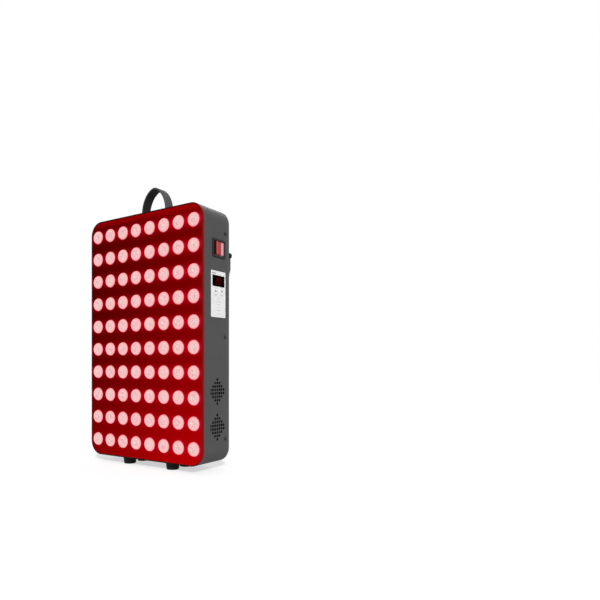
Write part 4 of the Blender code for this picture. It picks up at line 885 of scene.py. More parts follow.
# Rear cover. A shallow pressed tray of the same sheet that closes the back, with bent tabs inside the case
# for the side screws. Two fan openings and the inlet's opening are punched in it before it is coated.
COVER_WALL = 0.0015
RIM_RADIUS = 0.003
SEAM_ROUNDING = 0.0003
FIT = 0.0003
FAN_OPENING = 0.038
FAN_SIDES = 96
FAN_PITCH = 0.07150
FAN_HOLE = 0.0022
INLET_OPENING = (0.0278, 0.0206)
TAB_SIZE = (0.0015, 0.0146, 0.016)
TAB_ROUNDING = 0.0003
TAB_SINK = 0.0002
TAB_DRILL = 0.008
BEVEL_ANGLE = math.radians(40)
SQUARE = [(x / 2, z / 2) for x in (-1, 1) for z in (-1, 1)]


def fused(piece, *others):
    """One solid of the piece and the others."""
    return worked(piece, "UNION", others)


def bevelled(piece, width):
    """Rounds the piece's sharp edges."""
    step = piece.modifiers.new("edges", "BEVEL")
    step.width = width
    step.segments = 2
    step.limit_method = "ANGLE"
    step.angle_limit = BEVEL_ANGLE
    step.use_clamp_overlap = True
    return settled(piece, piece.name)


cover_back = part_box("rear_cover")[1].y
cover_grey = material("cover_powder_coat", CASE_GREY, roughness=0.55, relief=0.00006, Specular_IOR_Level=0.1)
fan_middles = {level: face_centre(f"fan_guard_{level}", "back") for level in ("upper", "lower")}
inlet_middle = face_centre("power_inlet", "back")
outer_rim = [(inset, cover_back - drop) for inset, drop in quarter(RIM_RADIUS)]
inner_rim = [
    (COVER_WALL + inset, cover_back - COVER_WALL - drop) for inset, drop in quarter(RIM_RADIUS - COVER_WALL)
]
seam_y = case_high.y + FIT
seam = [(0, seam_y + SEAM_ROUNDING), (SEAM_ROUNDING, seam_y), (COVER_WALL, seam_y)]
tray = skin(
    "rear_tray", (half_width, half_height), CORNER_RADIUS, outer_rim[::-1] + seam + inner_rim, about_middle
)
through = 4 * COVER_WALL
tools = []
for middle in fan_middles.values():
    spots = [(x * FAN_PITCH, cover_back, middle.z + z * FAN_PITCH) for x, z in SQUARE]
    tools.append(repeated("fan_holes", drill(FAN_HOLE, through), "back", spots))
    centre = [(0, cover_back, middle.z)]
    tools.append(repeated("fan_opening", drill(FAN_OPENING, through, FAN_SIDES), "back", centre))
inlet_size = (INLET_OPENING[0], through, INLET_OPENING[1])
tray = cut(tray, *tools, block(inlet_size, (inlet_middle.x, cover_back, inlet_middle.z)))
tabs = []
for side, sign in SIDES:
    spots = [face_centre(name, side) for name in SIDE_SCREWS[side]]
    x = sign * (half_width - WALL - FIT - TAB_SIZE[0] / 2)
    y = cover_back - COVER_WALL + TAB_SINK - TAB_SIZE[1] / 2
    bit = drill(SIDE_HOLE, TAB_DRILL)
    bit.data.transform(aimed("right", (0, spots[0].y - y, 0)))
    tab = cut(bevelled(block(TAB_SIZE), TAB_ROUNDING), bit)
    tabs.append(repeated("tabs", tab, "up", [(x, y, spot.z) for spot in spots]))
finished(fused(tray, *tabs), cover_grey, nodes=["rear_cover"])

# Fans. Two 80 mm axial fans screwed behind the openings: a moulded frame with four struts that carry the
# motor, a seven-bladed rotor on its own axis, and a guard of welded black wire.
FAN_HALF = 0.040
FAN_CORNER = 0.006
FAN_DEPTH = 0.025
FAN_FLANGE = 0.004
FAN_BARREL = 0.0394
FAN_EDGE = 0.0005
FAN_FLARE = 0.0014
FAN_THROAT = 0.003
FAN_MARGIN = 0.001
MOTOR_RADIUS = 0.0165
MOTOR_SEAT = 0.004
MOTOR_EDGE = 0.0006
HUB_SIDES = 64
LABEL_MARGIN = 0.0030
LABEL_STEP = 0.0005
STRUTS = 4
STRUT_WIDTH = 0.0036
STRUT_SINK = 0.0022
STRUT_OVERLAP = 0.0008
STRUT_ROUNDING = 0.0008
HUB_DEPTH = 0.017
HUB_EYE = 0.0040
HUB_DIMPLE = 0.0004
HUB_ROUNDING = 0.0020
BLADES = 7
BLADE_TIP = 0.0368
BLADE_CHORD = 0.020
BLADE_PITCH = math.radians(36)
BLADE_SWEEP = 0.10
BLADE_CAMBER = 0.0016
BLADE_THICKNESS = 0.0012
BLADE_EDGE = 0.02
BLADE_STEPS = (8, 10)
GUARD_WIRE = 0.0009
GUARD_WIRE_SIDES = 10
GUARD_RING_SIDES = 72
GUARD_EYE_SIDES = 24
GUARD_RINGS = 5
GUARD_FIRST_RING = 0.0090
GUARD_MARGIN = 0.0012
GUARD_LIFT = 1.7
GUARD_EYE = 0.0032
SCREW_DOME = ((0.30, 1.0), (0.55, 0.97), (0.75, 0.87), (0.90, 0.68), (0.98, 0.40), (1.0, 0.15), (0.98, 0))
SCREW_TIP = 0.0006
SCREW_TAPER = 0.7
SCREW_SIDES = 24
RECESS_DEPTH = 0.7
RECESS_ARM = 1.15
RECESS_WIDTH = 0.24
FAN_SCREW = (0.0036, 0.0022, 0.002)
FAN_SCREW_LENGTH = 0.010

black_plastic = material("moulded_black", (0.012, 0.012, 0.013), roughness=0.45, grain=0.0005, relief=0.00005)
black_wire = material("black_enamel_wire", (0.010, 0.010, 0.011), roughness=0.30, grain=0.0010)
black_steel = material("black_oxide_steel", (0.030, 0.030, 0.032), roughness=0.35, grain=0.0005, Metallic=0.7)


def ring_of():
    """One shape repeated round the Z axis."""
    tree, sizes = geometry_tree("ring_of", Shape="Object", Count="Int")
    line = reading(tree, "GeometryNodeMeshLine", {"Count": sizes["Count"], "Offset": (0, 0, 0)})
    turn = reading(tree, "GeometryNodeInputIndex") * (2 * math.pi) / sizes["Count"]
    rotation = reading(tree, "FunctionNodeEulerToRotation", {0: from_axes(tree, Z=turn)})
    return close_tree(tree, sizes, instanced(line, shape_of(sizes["Shape"]), Rotation=rotation))


RING_OF = ring_of()


def ringed(name, shape, count):
    made = grown(name, RING_OF, Shape=shape, Count=count)
    discarded(shape)
    return made


def gathered(name, *pieces):
    """One mesh of several closed shells."""
    build = bmesh.new()
    for piece in pieces:
        build.from_mesh(piece.data)
    discarded(*pieces)
    mesh = bpy.data.meshes.new(name)
    build.to_mesh(mesh)
    build.free()
    return linked(name, mesh)


def placed_copy(piece, name, place):
    mesh = piece.data.copy()
    mesh.transform(place)
    return linked(name, mesh)


def fan_frame():
    """The frame about its middle, with its motor seat at +Z."""
    half = FAN_DEPTH / 2
    ends = [(FAN_EDGE, -half), (0, FAN_EDGE - half), (0, half - FAN_EDGE), (FAN_EDGE, half)]
    body = skin("fan_frame", (FAN_HALF, FAN_HALF), FAN_CORNER, ends, steps=8)
    collar = block((3 * FAN_HALF, 3 * FAN_HALF, FAN_DEPTH - 2 * FAN_FLANGE))
    waist = cut(collar, drill(FAN_BARREL, FAN_DEPTH, FAN_SIDES))
    mouth, end, throat = FAN_OPENING + FAN_FLARE, half + FAN_MARGIN, half - FAN_THROAT
    bore = lathed("bore", (
        (0, end), (mouth, end), (FAN_OPENING, throat), (FAN_OPENING, -throat), (mouth, -end), (0, -end),
    ), FAN_SIDES)
    spots = [(x * FAN_PITCH, z * FAN_PITCH, 0) for x, z in SQUARE]
    body = cut(body, waist, bore, repeated("holes", drill(FAN_HOLE, 2 * FAN_DEPTH), "up", spots))
    label, rim, foot = MOTOR_RADIUS - LABEL_MARGIN, half - MOTOR_EDGE, half - MOTOR_SEAT
    seat = lathed("seat", (
        (0, rim), (label - LABEL_STEP, rim), (label, half), (MOTOR_RADIUS - MOTOR_EDGE, half),
        (MOTOR_RADIUS, rim), (MOTOR_RADIUS, foot), (0, foot),
    ), HUB_SIDES)
    length = FAN_OPENING - MOTOR_RADIUS + 2 * STRUT_OVERLAP
    middle = (MOTOR_RADIUS + length / 2 - STRUT_OVERLAP, 0, half - STRUT_SINK)
    strut = bevelled(block((length, STRUT_WIDTH, MOTOR_SEAT - MOTOR_EDGE), middle), STRUT_ROUNDING)
    return gathered("fan_frame", body, seat, ringed("struts", strut, STRUTS))


def fan_rotor():
    """The rotor about its hub's middle: a cup with pitched, cambered blades."""
    half = HUB_DEPTH / 2
    root = MOTOR_RADIUS - MOTOR_EDGE
    hub = lathed("hub", (
        (0, half - HUB_DIMPLE), (HUB_EYE, half - HUB_DIMPLE), (HUB_EYE + LABEL_STEP, half),
        (MOTOR_RADIUS - HUB_ROUNDING, half), (root, half - MOTOR_EDGE), (MOTOR_RADIUS, half - HUB_ROUNDING),
        (MOTOR_RADIUS, -half), (0, -half),
    ), HUB_SIDES)
    along, across = BLADE_STEPS
    rings = []
    for i in range(along + 1):
        radius = root + (BLADE_TIP - root) * i / along
        faces = []
        for side in (1, -1):
            for j in range(across + 1):
                share = 2 * j / across - 1 if side > 0 else 1 - 2 * j / across
                chord = share * BLADE_CHORD / 2
                thickness = BLADE_THICKNESS / 2 * math.sqrt(max(1 - share ** 4, BLADE_EDGE))
                lift = BLADE_CAMBER * (1 - share * share) + side * thickness
                flat = chord * math.cos(BLADE_PITCH) - lift * math.sin(BLADE_PITCH)
                rise = chord * math.sin(BLADE_PITCH) + lift * math.cos(BLADE_PITCH)
                angle = flat / BLADE_TIP + BLADE_SWEEP * (i / along) ** 2
                faces.append((radius * math.cos(angle), radius * math.sin(angle), rise))
        rings.append(faces)
    return gathered("fan_rotor", hub, ringed("blades", lofted("blade", rings), BLADES))


def wire_guard_tree():
    """Round wires on two crossing wires, which end in eyes round the screws."""
    tree, sizes = geometry_tree(
        "wire_guard", Wire_radius="Float", Rings="Int", First_ring="Float", Ring_pitch="Float", Arm="Float",
        Eye_radius="Float",
    )
    wire = sizes["Wire radius"]
    start = from_axes(tree, Z=wire * GUARD_LIFT)
    inputs = {"Count": sizes["Rings"], "Start Location": start, "Offset": (0, 0, 0)}
    line = reading(tree, "GeometryNodeMeshLine", inputs)
    radius = sizes["First ring"] + reading(tree, "GeometryNodeInputIndex") * sizes["Ring pitch"]
    ring = circle(tree, GUARD_RING_SIDES, 1.0)
    rings = instanced(line, ring, Scale=from_axes(tree, X=radius, Y=radius, Z=1.0))

    def rotated(shape, turn):
        return reading(tree, "GeometryNodeTransform", {"Geometry": shape, "Rotation": (0, 0, turn)})

    corners = reading(tree, "GeometryNodeMeshCircle", {"Vertices": 4, "Radius": sizes["Arm"]})
    eyes = instanced(rotated(corners, math.pi / 4), circle(tree, GUARD_EYE_SIDES, sizes["Eye radius"]))
    reach = sizes["Arm"] - sizes["Eye radius"]
    ends = {"Start": from_axes(tree, X=reach * -1), "End": from_axes(tree, X=reach)}
    bar = reading(tree, "GeometryNodeCurvePrimitiveLine", ends)
    crossing = [rotated(bar, turn) for turn in (math.pi / 4, -math.pi / 4)]
    wires = joined(*crossing, eyes, rings)
    real = reading(tree, "GeometryNodeRealizeInstances", {"Geometry": wires})
    inputs = {"Curve": real, "Profile Curve": circle(tree, GUARD_WIRE_SIDES, wire), "Fill Caps": True}
    return close_tree(tree, sizes, reading(tree, "GeometryNodeCurveToMesh", inputs))


def pan_screws(name, nodes, aim, size, length, metal):
    """Pan-head screws with a cross recess and a chamfered tip, in place of their CAD nodes."""
    head_radius, head_height, shank = size
    dome = [(head_radius * share, head_height * level) for share, level in SCREW_DOME]
    tip = [(shank, 0), (shank, SCREW_TIP - length), (shank * SCREW_TAPER, -length), (0, -length)]
    screw = lathed("screw", [(0, head_height), *dome, *tip], SCREW_SIDES)
    depth, arm = head_height * RECESS_DEPTH, head_radius * RECESS_ARM
    width = arm * RECESS_WIDTH
    bars = [block((*flat, depth), (0, 0, head_height)) for flat in ((arm, width), (width, arm))]
    sink = turned(aim) @ Vector((0, 0, head_height))
    spots = [face_centre(label, aim) - sink for label in nodes]
    finished(repeated(name, cut(screw, *bars), aim, spots, metal), None, nodes=nodes)


frame_shape = fan_frame()
rotor_shape = fan_rotor()
guard_tree = wire_guard_tree()
for level, middle in fan_middles.items():
    seat = aimed("back", (0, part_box(f"fan_frame_{level}")[1].y - FAN_DEPTH / 2, middle.z))
    housing = placed_copy(frame_shape, f"fan_housing_{level}", seat)
    finished(housing, black_plastic, nodes=[f"fan_frame_{level}"])
    axle = aimed("front", (0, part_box(f"fan_rotor_{level}")[1].y - HUB_DEPTH / 2, middle.z))
    rotor = placed_copy(rotor_shape, f"fan_blades_{level}", axle)
    finished(rotor, black_plastic, f"fan_{level}", [f"fan_rotor_{level}"])
    guard = grown(
        f"wire_guard_{level}", guard_tree, aimed("back", (0, cover_back + FIT + GUARD_WIRE, middle.z)),
        Wire_radius=GUARD_WIRE, Rings=GUARD_RINGS, First_ring=GUARD_FIRST_RING,
        Ring_pitch=(FAN_OPENING - GUARD_MARGIN - GUARD_FIRST_RING) / (GUARD_RINGS - 1),
        Arm=FAN_PITCH / math.sqrt(2), Eye_radius=GUARD_EYE, Material=black_wire,
    )
    finished(guard, None, nodes=[f"fan_guard_{level}"])
    names = [f"fan_screw_{level}_{number}" for number in range(1, 5)]
    pan_screws(
        f"fan_screws_{level}", names, "back", FAN_SCREW, FAN_SCREW_LENGTH, black_steel
    )
discarded(frame_shape, rotor_shape)

# Power inlet. A moulded three-pin appliance socket, pushed through the cover from behind up to its flange.
# Its mouth has two cut corners and it holds three plated pins, whose ends stand out inside the case.
INLET_FLANGE = (0.025, 0.01225)
INLET_FLANGE_RADIUS = 0.004
INLET_FLANGE_THICKNESS = 0.003
INLET_FLANGE_ROUNDING = 0.001
INLET_BODY = (0.0136, 0.0100)
INLET_BODY_RADIUS = 0.0012
INLET_BODY_DEPTH = 0.020
INLET_MOUTH = (0.0120, 0.0084)
INLET_MOUTH_DEPTH = 0.016
INLET_CUT_CORNER = 0.0042
MOUTH_STATIONS = ((0, -INLET_MOUTH_DEPTH), (0, -0.0008), (0.0010, 0.0004))
PIN_SPREAD = 0.007
PIN_DROP = 0.002
PIN_SIZE = (0.002, 0.004, 0.0135)
PIN_ROUNDING = 0.0006
BLADE_SIZE = (0.0008, 0.0063, 0.0075)

pin_metal = material(
    "plated_pins", (0.62, 0.62, 0.60), roughness=0.28, grain=0.0010, relief=0.00001, Metallic=1.0
)


def slab(name, halves, radius, thickness, rounding, place, steps, edge_steps=EDGE_STEPS):
    """A rounded plate under height 0, with its front edge rounded."""
    stations = [(0, -thickness)] + [(inset, -drop) for inset, drop in quarter(rounding, edge_steps)]
    return skin(name, halves, radius, stations, place, steps=steps)


def mouth_outline(across, up, corner):
    """The socket's outline: a rectangle with two upper corners cut off."""
    return [(-across, -up), (across, -up), (across, up - corner), (across - corner, up),
            (corner - across, up), (-across, up - corner)]


inlet_place = aimed("back", inlet_middle)
body_end = -INLET_FLANGE_THICKNESS - INLET_BODY_DEPTH
inlet = slab(
    "inlet", INLET_FLANGE, INLET_FLANGE_RADIUS, INLET_FLANGE_THICKNESS, INLET_FLANGE_ROUNDING, inlet_place,
    steps=8,
)
body_ends = [(0, body_end), (0, -INLET_FLANGE_ROUNDING)]
body = skin("inlet_body", INLET_BODY, INLET_BODY_RADIUS, body_ends, inlet_place, steps=4)
mouth = lofted("mouth", [
    [(x, y, height) for x, y in mouth_outline(*[half + flare for half in INLET_MOUTH], INLET_CUT_CORNER)]
    for flare, height in MOUTH_STATIONS
], inlet_place)
inlet = cut(fused(inlet, body), mouth)
finished(inlet, black_plastic, nodes=["power_inlet"])
pins = []
for step in (-1, 0, 1):
    rise = PIN_DROP if step == 0 else -PIN_DROP
    pin = block(PIN_SIZE, (step * PIN_SPREAD, rise, PIN_SIZE[2] / 2 - INLET_MOUTH_DEPTH))
    pins.append(bevelled(pin, PIN_ROUNDING))
    pins.append(block(BLADE_SIZE, (step * PIN_SPREAD, 0, body_end - BLADE_SIZE[2] / 2)))
pins = gathered("inlet_pins", *pins)
pins.data.transform(inlet_place)
finished(pins, pin_metal)

# Rocker switch. A snap-in moulding whose bezel rests on the case, and a translucent red rocker that a lamp
# lights from below: its raised front half is red, and its rear half glows pale pink over the lamp.
BEZEL_THICKNESS = 0.0015
BEZEL_RADIUS = 0.0012
BEZEL_ROUNDING = 0.0005
SWITCH_BODY = (0.0130, 0.0115)
SWITCH_BODY_RADIUS = 0.0010
SWITCH_BODY_DEPTH = 0.019
SWITCH_BODY_TOP = -0.0008
SWITCH_WELL = (0.01199, 0.0103)
SWITCH_WELL_RADIUS = 0.0008
SWITCH_WELL_ENDS = [(0, -0.0098), (0, -0.0007), (-0.0004, 0), (-0.0004, 0.001)]
TERMINAL_SPREAD = 0.007
ROCKER_HALF = 0.0110
ROCKER_TILT = math.radians(7)
ROCKER_THROAT = 0.0026
ROCKER_SKIRT = 0.0020
ROCKER_BELLY = 0.0055
ROCKER_BELLY_HALF = 0.0045
ROCKER_SINK = 0.0002
ROCKER_DISH = 0.00025
ROCKER_EDGE = 0.0006
ROCKER_STEPS = 12
ROCKER_END_FADE = (0.40, 0.50)
ROCKER_END_LEVEL = 0.45
ROCKER_CLOUD = (0.82, 0.3)
ROCKER_CLOUD_SCALE = 420.0
ROCKER_ENDS = ((0.0006, 0), (0.0002, 0.0002), (0, 0.0006))
# The lamp's glow along the rocker, with painted shade on both end faces and a dark line of painted shade at
# the ridge between the halves.
ROCKER_GLOW_AND_SHADE = (
    (0.00, (0.02, 0.002, 0.002)), (0.04, (0.14, 0.012, 0.010)), (0.10, (0.50, 0.046, 0.040)),
    (0.22, (0.56, 0.044, 0.038)), (0.34, (0.48, 0.024, 0.018)), (0.52, (0.42, 0.032, 0.026)),
    (0.64, (0.34, 0.060, 0.066)), (0.71, (0.76, 0.34, 0.39)), (0.81, (0.90, 0.48, 0.57)),
    (0.87, (0.76, 0.42, 0.50)), (0.94, (0.36, 0.20, 0.24)), (0.98, (0.08, 0.04, 0.05)),
)

bezel_halves = halves_of("switch_housing", "right")
bezel_place = aimed("right", switch_middle)
bezel = slab(
    "switch_bezel", bezel_halves, BEZEL_RADIUS, BEZEL_THICKNESS, BEZEL_ROUNDING, bezel_place, steps=6
)
shell_ends = [(0, -BEZEL_THICKNESS - SWITCH_BODY_DEPTH), (0, SWITCH_BODY_TOP)]
shell = skin("shell", SWITCH_BODY, SWITCH_BODY_RADIUS, shell_ends, bezel_place, steps=4)
well = skin("well", SWITCH_WELL, SWITCH_WELL_RADIUS, SWITCH_WELL_ENDS, bezel_place, steps=4)
housing_black = material(
    "switch_black", (0.014, 0.014, 0.015), roughness=0.45, grain=0.0005, relief=0.00004,
    Specular_IOR_Level=0.2,
)
housing = cut(fused(bezel, shell), well)
finished(housing, housing_black, nodes=["switch_housing"])
blade_height = shell_ends[0][1] - BLADE_SIZE[2] / 2
blades = [block(BLADE_SIZE, (step * TERMINAL_SPREAD, 0, blade_height)) for step in (-1, 0, 1)]
terminals = gathered("switch_terminals", *blades)
terminals.data.transform(bezel_place)
finished(terminals, pin_metal)


def rocker_outline():
    """The rocker seen from above, front end at +X: two dished halves that meet in a shallow V."""
    wing = ROCKER_THROAT + ROCKER_HALF * math.tan(ROCKER_TILT)
    top = []
    for i in range(-ROCKER_STEPS, ROCKER_STEPS + 1):
        share = abs(i) / ROCKER_STEPS
        dish = ROCKER_DISH * math.sin(share * math.pi) if share < 1 else 0
        height = ROCKER_THROAT + (wing - ROCKER_THROAT) * share - dish
        top.append((i / ROCKER_STEPS * (ROCKER_HALF - ROCKER_EDGE), height))
    side = [
        (ROCKER_HALF, wing - ROCKER_EDGE), (ROCKER_HALF, -ROCKER_SKIRT), (ROCKER_BELLY_HALF, -ROCKER_BELLY),
    ]
    return top + side + [(-x, y) for x, y in reversed(side)]


def rocker_material():
    """Translucent red lit by its lamp: saturated front half, pink rear half, painted shade on its end faces
    and ridge, darker at its upper and lower ends.
    """
    made, tree, shader = principled("lit_rocker", (0.6, 0.02, 0.015), {
        "Base Color": (0.03, 0.001, 0.001), "Roughness": 0.30, "Specular IOR Level": 0.08,
        "Emission Strength": 0.85,
    })
    along, up, _ = axes(reading(tree, "ShaderNodeUVMap", uv_map="lay"))
    ends = faded(abs(up - 0.5), *ROCKER_END_FADE, 1.0, ROCKER_END_LEVEL)
    cloud = noise(object_place(tree), ROCKER_CLOUD_SCALE) * ROCKER_CLOUD[1] + ROCKER_CLOUD[0]
    feed(shader, {"Emission Color": scaled(ramp(along, ROCKER_GLOW_AND_SHADE), ends * cloud)})
    return made


def sealed(piece):
    """Merges the piece's doubled points and turns its faces outwards."""
    build = bmesh.new()
    build.from_mesh(piece.data)
    bmesh.ops.remove_doubles(build, verts=build.verts, dist=WELD)
    bmesh.ops.recalc_face_normals(build, faces=build.faces)
    build.to_mesh(piece.data)
    build.free()
    return piece


rocker_half = size_of("switch_rocker")[2] / 2
stations = [(inset, sign * (rocker_half - level)) for inset, level in ROCKER_ENDS for sign in (-1, 1)]
rocker = lofted("rocker", [
    [(x * (1 - inset / ROCKER_HALF), y - math.copysign(inset, y), height) for x, y in rocker_outline()]
    for inset, height in sorted(stations, key=lambda station: station[1])
])
lay = rocker.data.uv_layers.new(name="lay")
for loop in rocker.data.loops:
    x, _, z = rocker.data.vertices[loop.vertex_index].co
    lay.data[loop.index].uv = (0.5 - x / (2 * ROCKER_HALF), z / (2 * rocker_half) + 0.5)
pivot = switch_middle - Vector((ROCKER_SINK + ROCKER_THROAT, 0, 0))
rocker.data.transform(Matrix.Translation(pivot) @ Matrix.Rotation(ROCKER_TILT - QUARTER, 4, "Z"))
finished(sealed(rocker), rocker_material(), "rocker", ["switch_rocker"])

# Control plate. A white printed plate glued over the case's opening, with a smoked window over two red digits
# and a round key under it on each side. The print is a framed table and small bars where the words would be.
PLATE_CORNER = 0.0015
PLATE_EDGE = 0.0003
PANE_CORNER = 0.0008
PANE_EDGE = 0.0002
PRINT_WHITE = (0.86, 0.86, 0.87)
PLATE_INK = (0.10, 0.10, 0.13)
KEY_INK = (0.10, 0.10, 0.12)
FRAME_MIDDLE = (0.0005, -0.0180)
FRAME_HALVES = ((0.0118, 0.0130), (0.01155, 0.01275))
FRAME_WEIGHT = 0.35
PRINT_BARS = (
    ((0.0008, -0.0065), (0.0026, 0.0004), 0.30), ((0.0008, -0.0110), (0.0042, 0.0004), 0.42),
    ((0.0008, -0.0150), (0.0030, 0.0004), 0.45), ((0.0008, -0.0192), (0.0026, 0.0004), 0.22),
    ((0.0008, -0.0234), (0.0034, 0.0004), 0.50), ((0.0008, -0.0276), (0.0040, 0.0004), 0.22),
    ((-0.0105, 0.0297), (0.0042, 0.0011), 0.55), ((0.0060, 0.0285), (0.0080, 0.0003), 0.25),
    ((-0.0075, -0.0028), (0.0030, 0.0004), 0.40),
)
KEY_RADIUS = 0.0057
KEY_FLANGE = 0.0066
KEY_FLANGE_THICKNESS = 0.0008
KEY_STEM = 0.0020
KEY_FACE = (
    (0, -0.00015), (0.0030, -0.00012), (KEY_RADIUS - 0.0010, 0), (KEY_RADIUS - 0.0004, 0),
    (KEY_RADIUS - 0.0001, -0.0001), (KEY_RADIUS, -0.0004),
)
KEY_SIDES = 48
KEY_RING = (0.0051, 0.00022, 0.35)
ARROW_TIP = 0.0018
ARROW_FOOT = -0.0016
ARROW_SLOPE = 0.6
DIGIT_HEIGHT = 0.0088
DIGIT_WIDTH = 0.0048
DIGIT_PITCH = 0.0066
DIGIT_SHIFT = 0.0008
DIGIT_REDS = ((0.40, 0.0, 0.004), (1.0, 0.015, 0.03))
FLICKER_SCALE = 500.0
SEGMENT_WIDTH = 0.0010
SEGMENT_GAP = 0.0004
SEGMENT_RELIEF = 0.00006
DIGITS = "20"
SEGMENTS = {
    "2": "top upper_right middle lower_left bottom",
    "0": "top upper_right lower_right bottom lower_left upper_left",
}
SEGMENT_PLACES = {
    "top": (0, 1, 0), "middle": (0, 0, 0), "bottom": (0, -1, 0), "upper_left": (-1, 0.5, 1),
    "upper_right": (1, 0.5, 1), "lower_left": (-1, -0.5, 1), "lower_right": (1, -0.5, 1),
}

plate_middle = face_centre("control_plate", "right")
plate_halves = halves_of("control_plate", "right")
plate_thickness = size_of("control_plate")[0]
plate_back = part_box("control_plate")[0].x
pane_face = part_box("display_window")[1].x
pane_halves = halves_of("display_window", "right")
key_middles = {way: face_centre(f"button_{way}", "right") for way in ("front", "rear")}


def print_place(tree, middle):
    """A point's way across and up from the middle of a printed piece."""
    _, y, z = axes(object_place(tree))
    return y - middle.y, z - middle.z


def bar_mask(place, middle, halves):
    """1 inside a small printed bar."""
    past = [abs(value - centre) - half for value, centre, half in zip(place, middle, halves)]
    return maths("LESS_THAN", maths("MAXIMUM", *past), 0.0)


def plate_print(tree):
    """The plate's print: a thin frame, a column of bars in it and a bar over the window."""
    place = print_place(tree, plate_middle)
    outer, inner = [bar_mask(place, FRAME_MIDDLE, halves) for halves in FRAME_HALVES]
    total = (outer - inner) * FRAME_WEIGHT
    for middle, halves, weight in PRINT_BARS:
        total = maths("MAXIMUM", total, bar_mask(place, middle, halves) * weight)
    return total


def key_print(tree, middle, way):
    """A thin ring and an arrow that points up or down."""
    across, up = print_place(tree, middle)
    up = up * way
    radius, width, weight = KEY_RING
    ring = maths("COMPARE", distance(across, up), radius, width)
    beside = maths("LESS_THAN", abs(across), (ARROW_TIP - up) * ARROW_SLOPE)
    return maths("MAXIMUM", ring * weight, beside * maths("GREATER_THAN", up, ARROW_FOOT))


plate_white = material("plate_white_print", PRINT_WHITE, roughness=0.40, relief=0.00001, drift=0.03)
overlaid(plate_white, plate_print(plate_white.node_tree), PLATE_INK)
plate = slab(
    "control_plate_sheet", plate_halves, PLATE_CORNER, plate_thickness, PLATE_EDGE,
    aimed("right", plate_middle), steps=6, edge_steps=2,
)
opening = skin(
    "opening", [half + FIT for half in pane_halves], PANE_CORNER + FIT,
    [(0, -2 * plate_thickness), (0, plate_thickness)],
    aimed("right", (plate_middle.x, window_middle.y, window_middle.z)), steps=4,
)
spots = [(plate_middle.x, middle.y, middle.z) for middle in key_middles.values()]
holes = repeated("key_holes", drill(KEY_RADIUS + FIT, 4 * plate_thickness, KEY_SIDES), "right", spots)
finished(cut(plate, opening, holes), plate_white, nodes=["control_plate"])
pane_black = material(
    "smoked_pane", (0.002, 0.0006, 0.0006), roughness=0.18, grain=0.0020, relief=0.000005,
    Specular_IOR_Level=0.0,
)
pane = slab(
    "smoked_window", pane_halves, PANE_CORNER, size_of("display_window")[0], PANE_EDGE,
    aimed("right", window_middle), steps=4, edge_steps=2,
)
finished(pane, pane_black, nodes=["display_window"])


def segment(length):
    """One lit bar with pointed ends, lying along X."""
    half, wide = length / 2, SEGMENT_WIDTH / 2
    outline = [(-half, 0), (wide - half, -wide), (half - wide, -wide), (half, 0), (half - wide, wide),
               (wide - half, wide)]
    return lofted("segment", [[(x, y, level) for x, y in outline] for level in (0, SEGMENT_RELIEF)])


def lit_digits():
    """Digits about the window's middle, set out on its face."""
    bars = []
    for i, digit in enumerate(DIGITS):
        shift = (i - (len(DIGITS) - 1) / 2) * DIGIT_PITCH
        for label in SEGMENTS[digit].split():
            x, y, upright = SEGMENT_PLACES[label]
            bar = segment((DIGIT_HEIGHT / 2 if upright else DIGIT_WIDTH) - SEGMENT_GAP)
            spot = Matrix.Translation((x * DIGIT_WIDTH / 2 + shift, y * DIGIT_HEIGHT / 2, 0))
            bar.data.transform(spot @ Matrix.Rotation(upright * QUARTER, 4, "Z"))
            bars.append(bar)
    return gathered("display_digits", *bars)


digits = lit_digits()
digits.data.transform(aimed("right", (pane_face, window_middle.y - DIGIT_SHIFT, window_middle.z)))
digit_red = material(
    "lit_digits", (0.01, 0.0, 0.0), roughness=0.5, relief=0.00001, Emission_Strength=0.15,
    Specular_IOR_Level=0.0,
)
flicker = noise(object_place(digit_red.node_tree), FLICKER_SCALE)
feed(shader_of(digit_red), {"Emission Color": blended(flicker, *DIGIT_REDS)})
finished(digits, digit_red)
for way, middle in key_middles.items():
    key_low, key_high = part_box(f"button_{way}")
    flange_top = plate_back - FIT - key_high.x
    flange_back = flange_top - KEY_FLANGE_THICKNESS
    depth = key_low.x - key_high.x
    key = lathed(f"key_{way}", KEY_FACE + (
        (KEY_RADIUS, flange_top), (KEY_FLANGE, flange_top), (KEY_FLANGE, flange_back),
        (KEY_STEM, flange_back), (KEY_STEM, depth), (0, depth),
    ), KEY_SIDES, aimed("right", middle))
    key_white = material(f"key_white_{way}", PRINT_WHITE, roughness=0.35, relief=0.00001, drift=0.03)
    overlaid(key_white, key_print(key_white.node_tree, middle, 1 if way == "front" else -1), KEY_INK)
    finished(key, key_white, f"button_{way}", [f"button_{way}"])

# Side screws. Three small black pan-head screws on each side, driven through the case into the cover's tabs.
# Their heads stand on the paint, and a cross recess is pressed into each.
SIDE_SCREW = (0.0029, 0.0016, 0.0015)
SIDE_SCREW_LENGTH = 0.006
for side, names in SIDE_SCREWS.items():
    pan_screws(f"side_screws_{side}", names, side, SIDE_SCREW, SIDE_SCREW_LENGTH, black_steel)

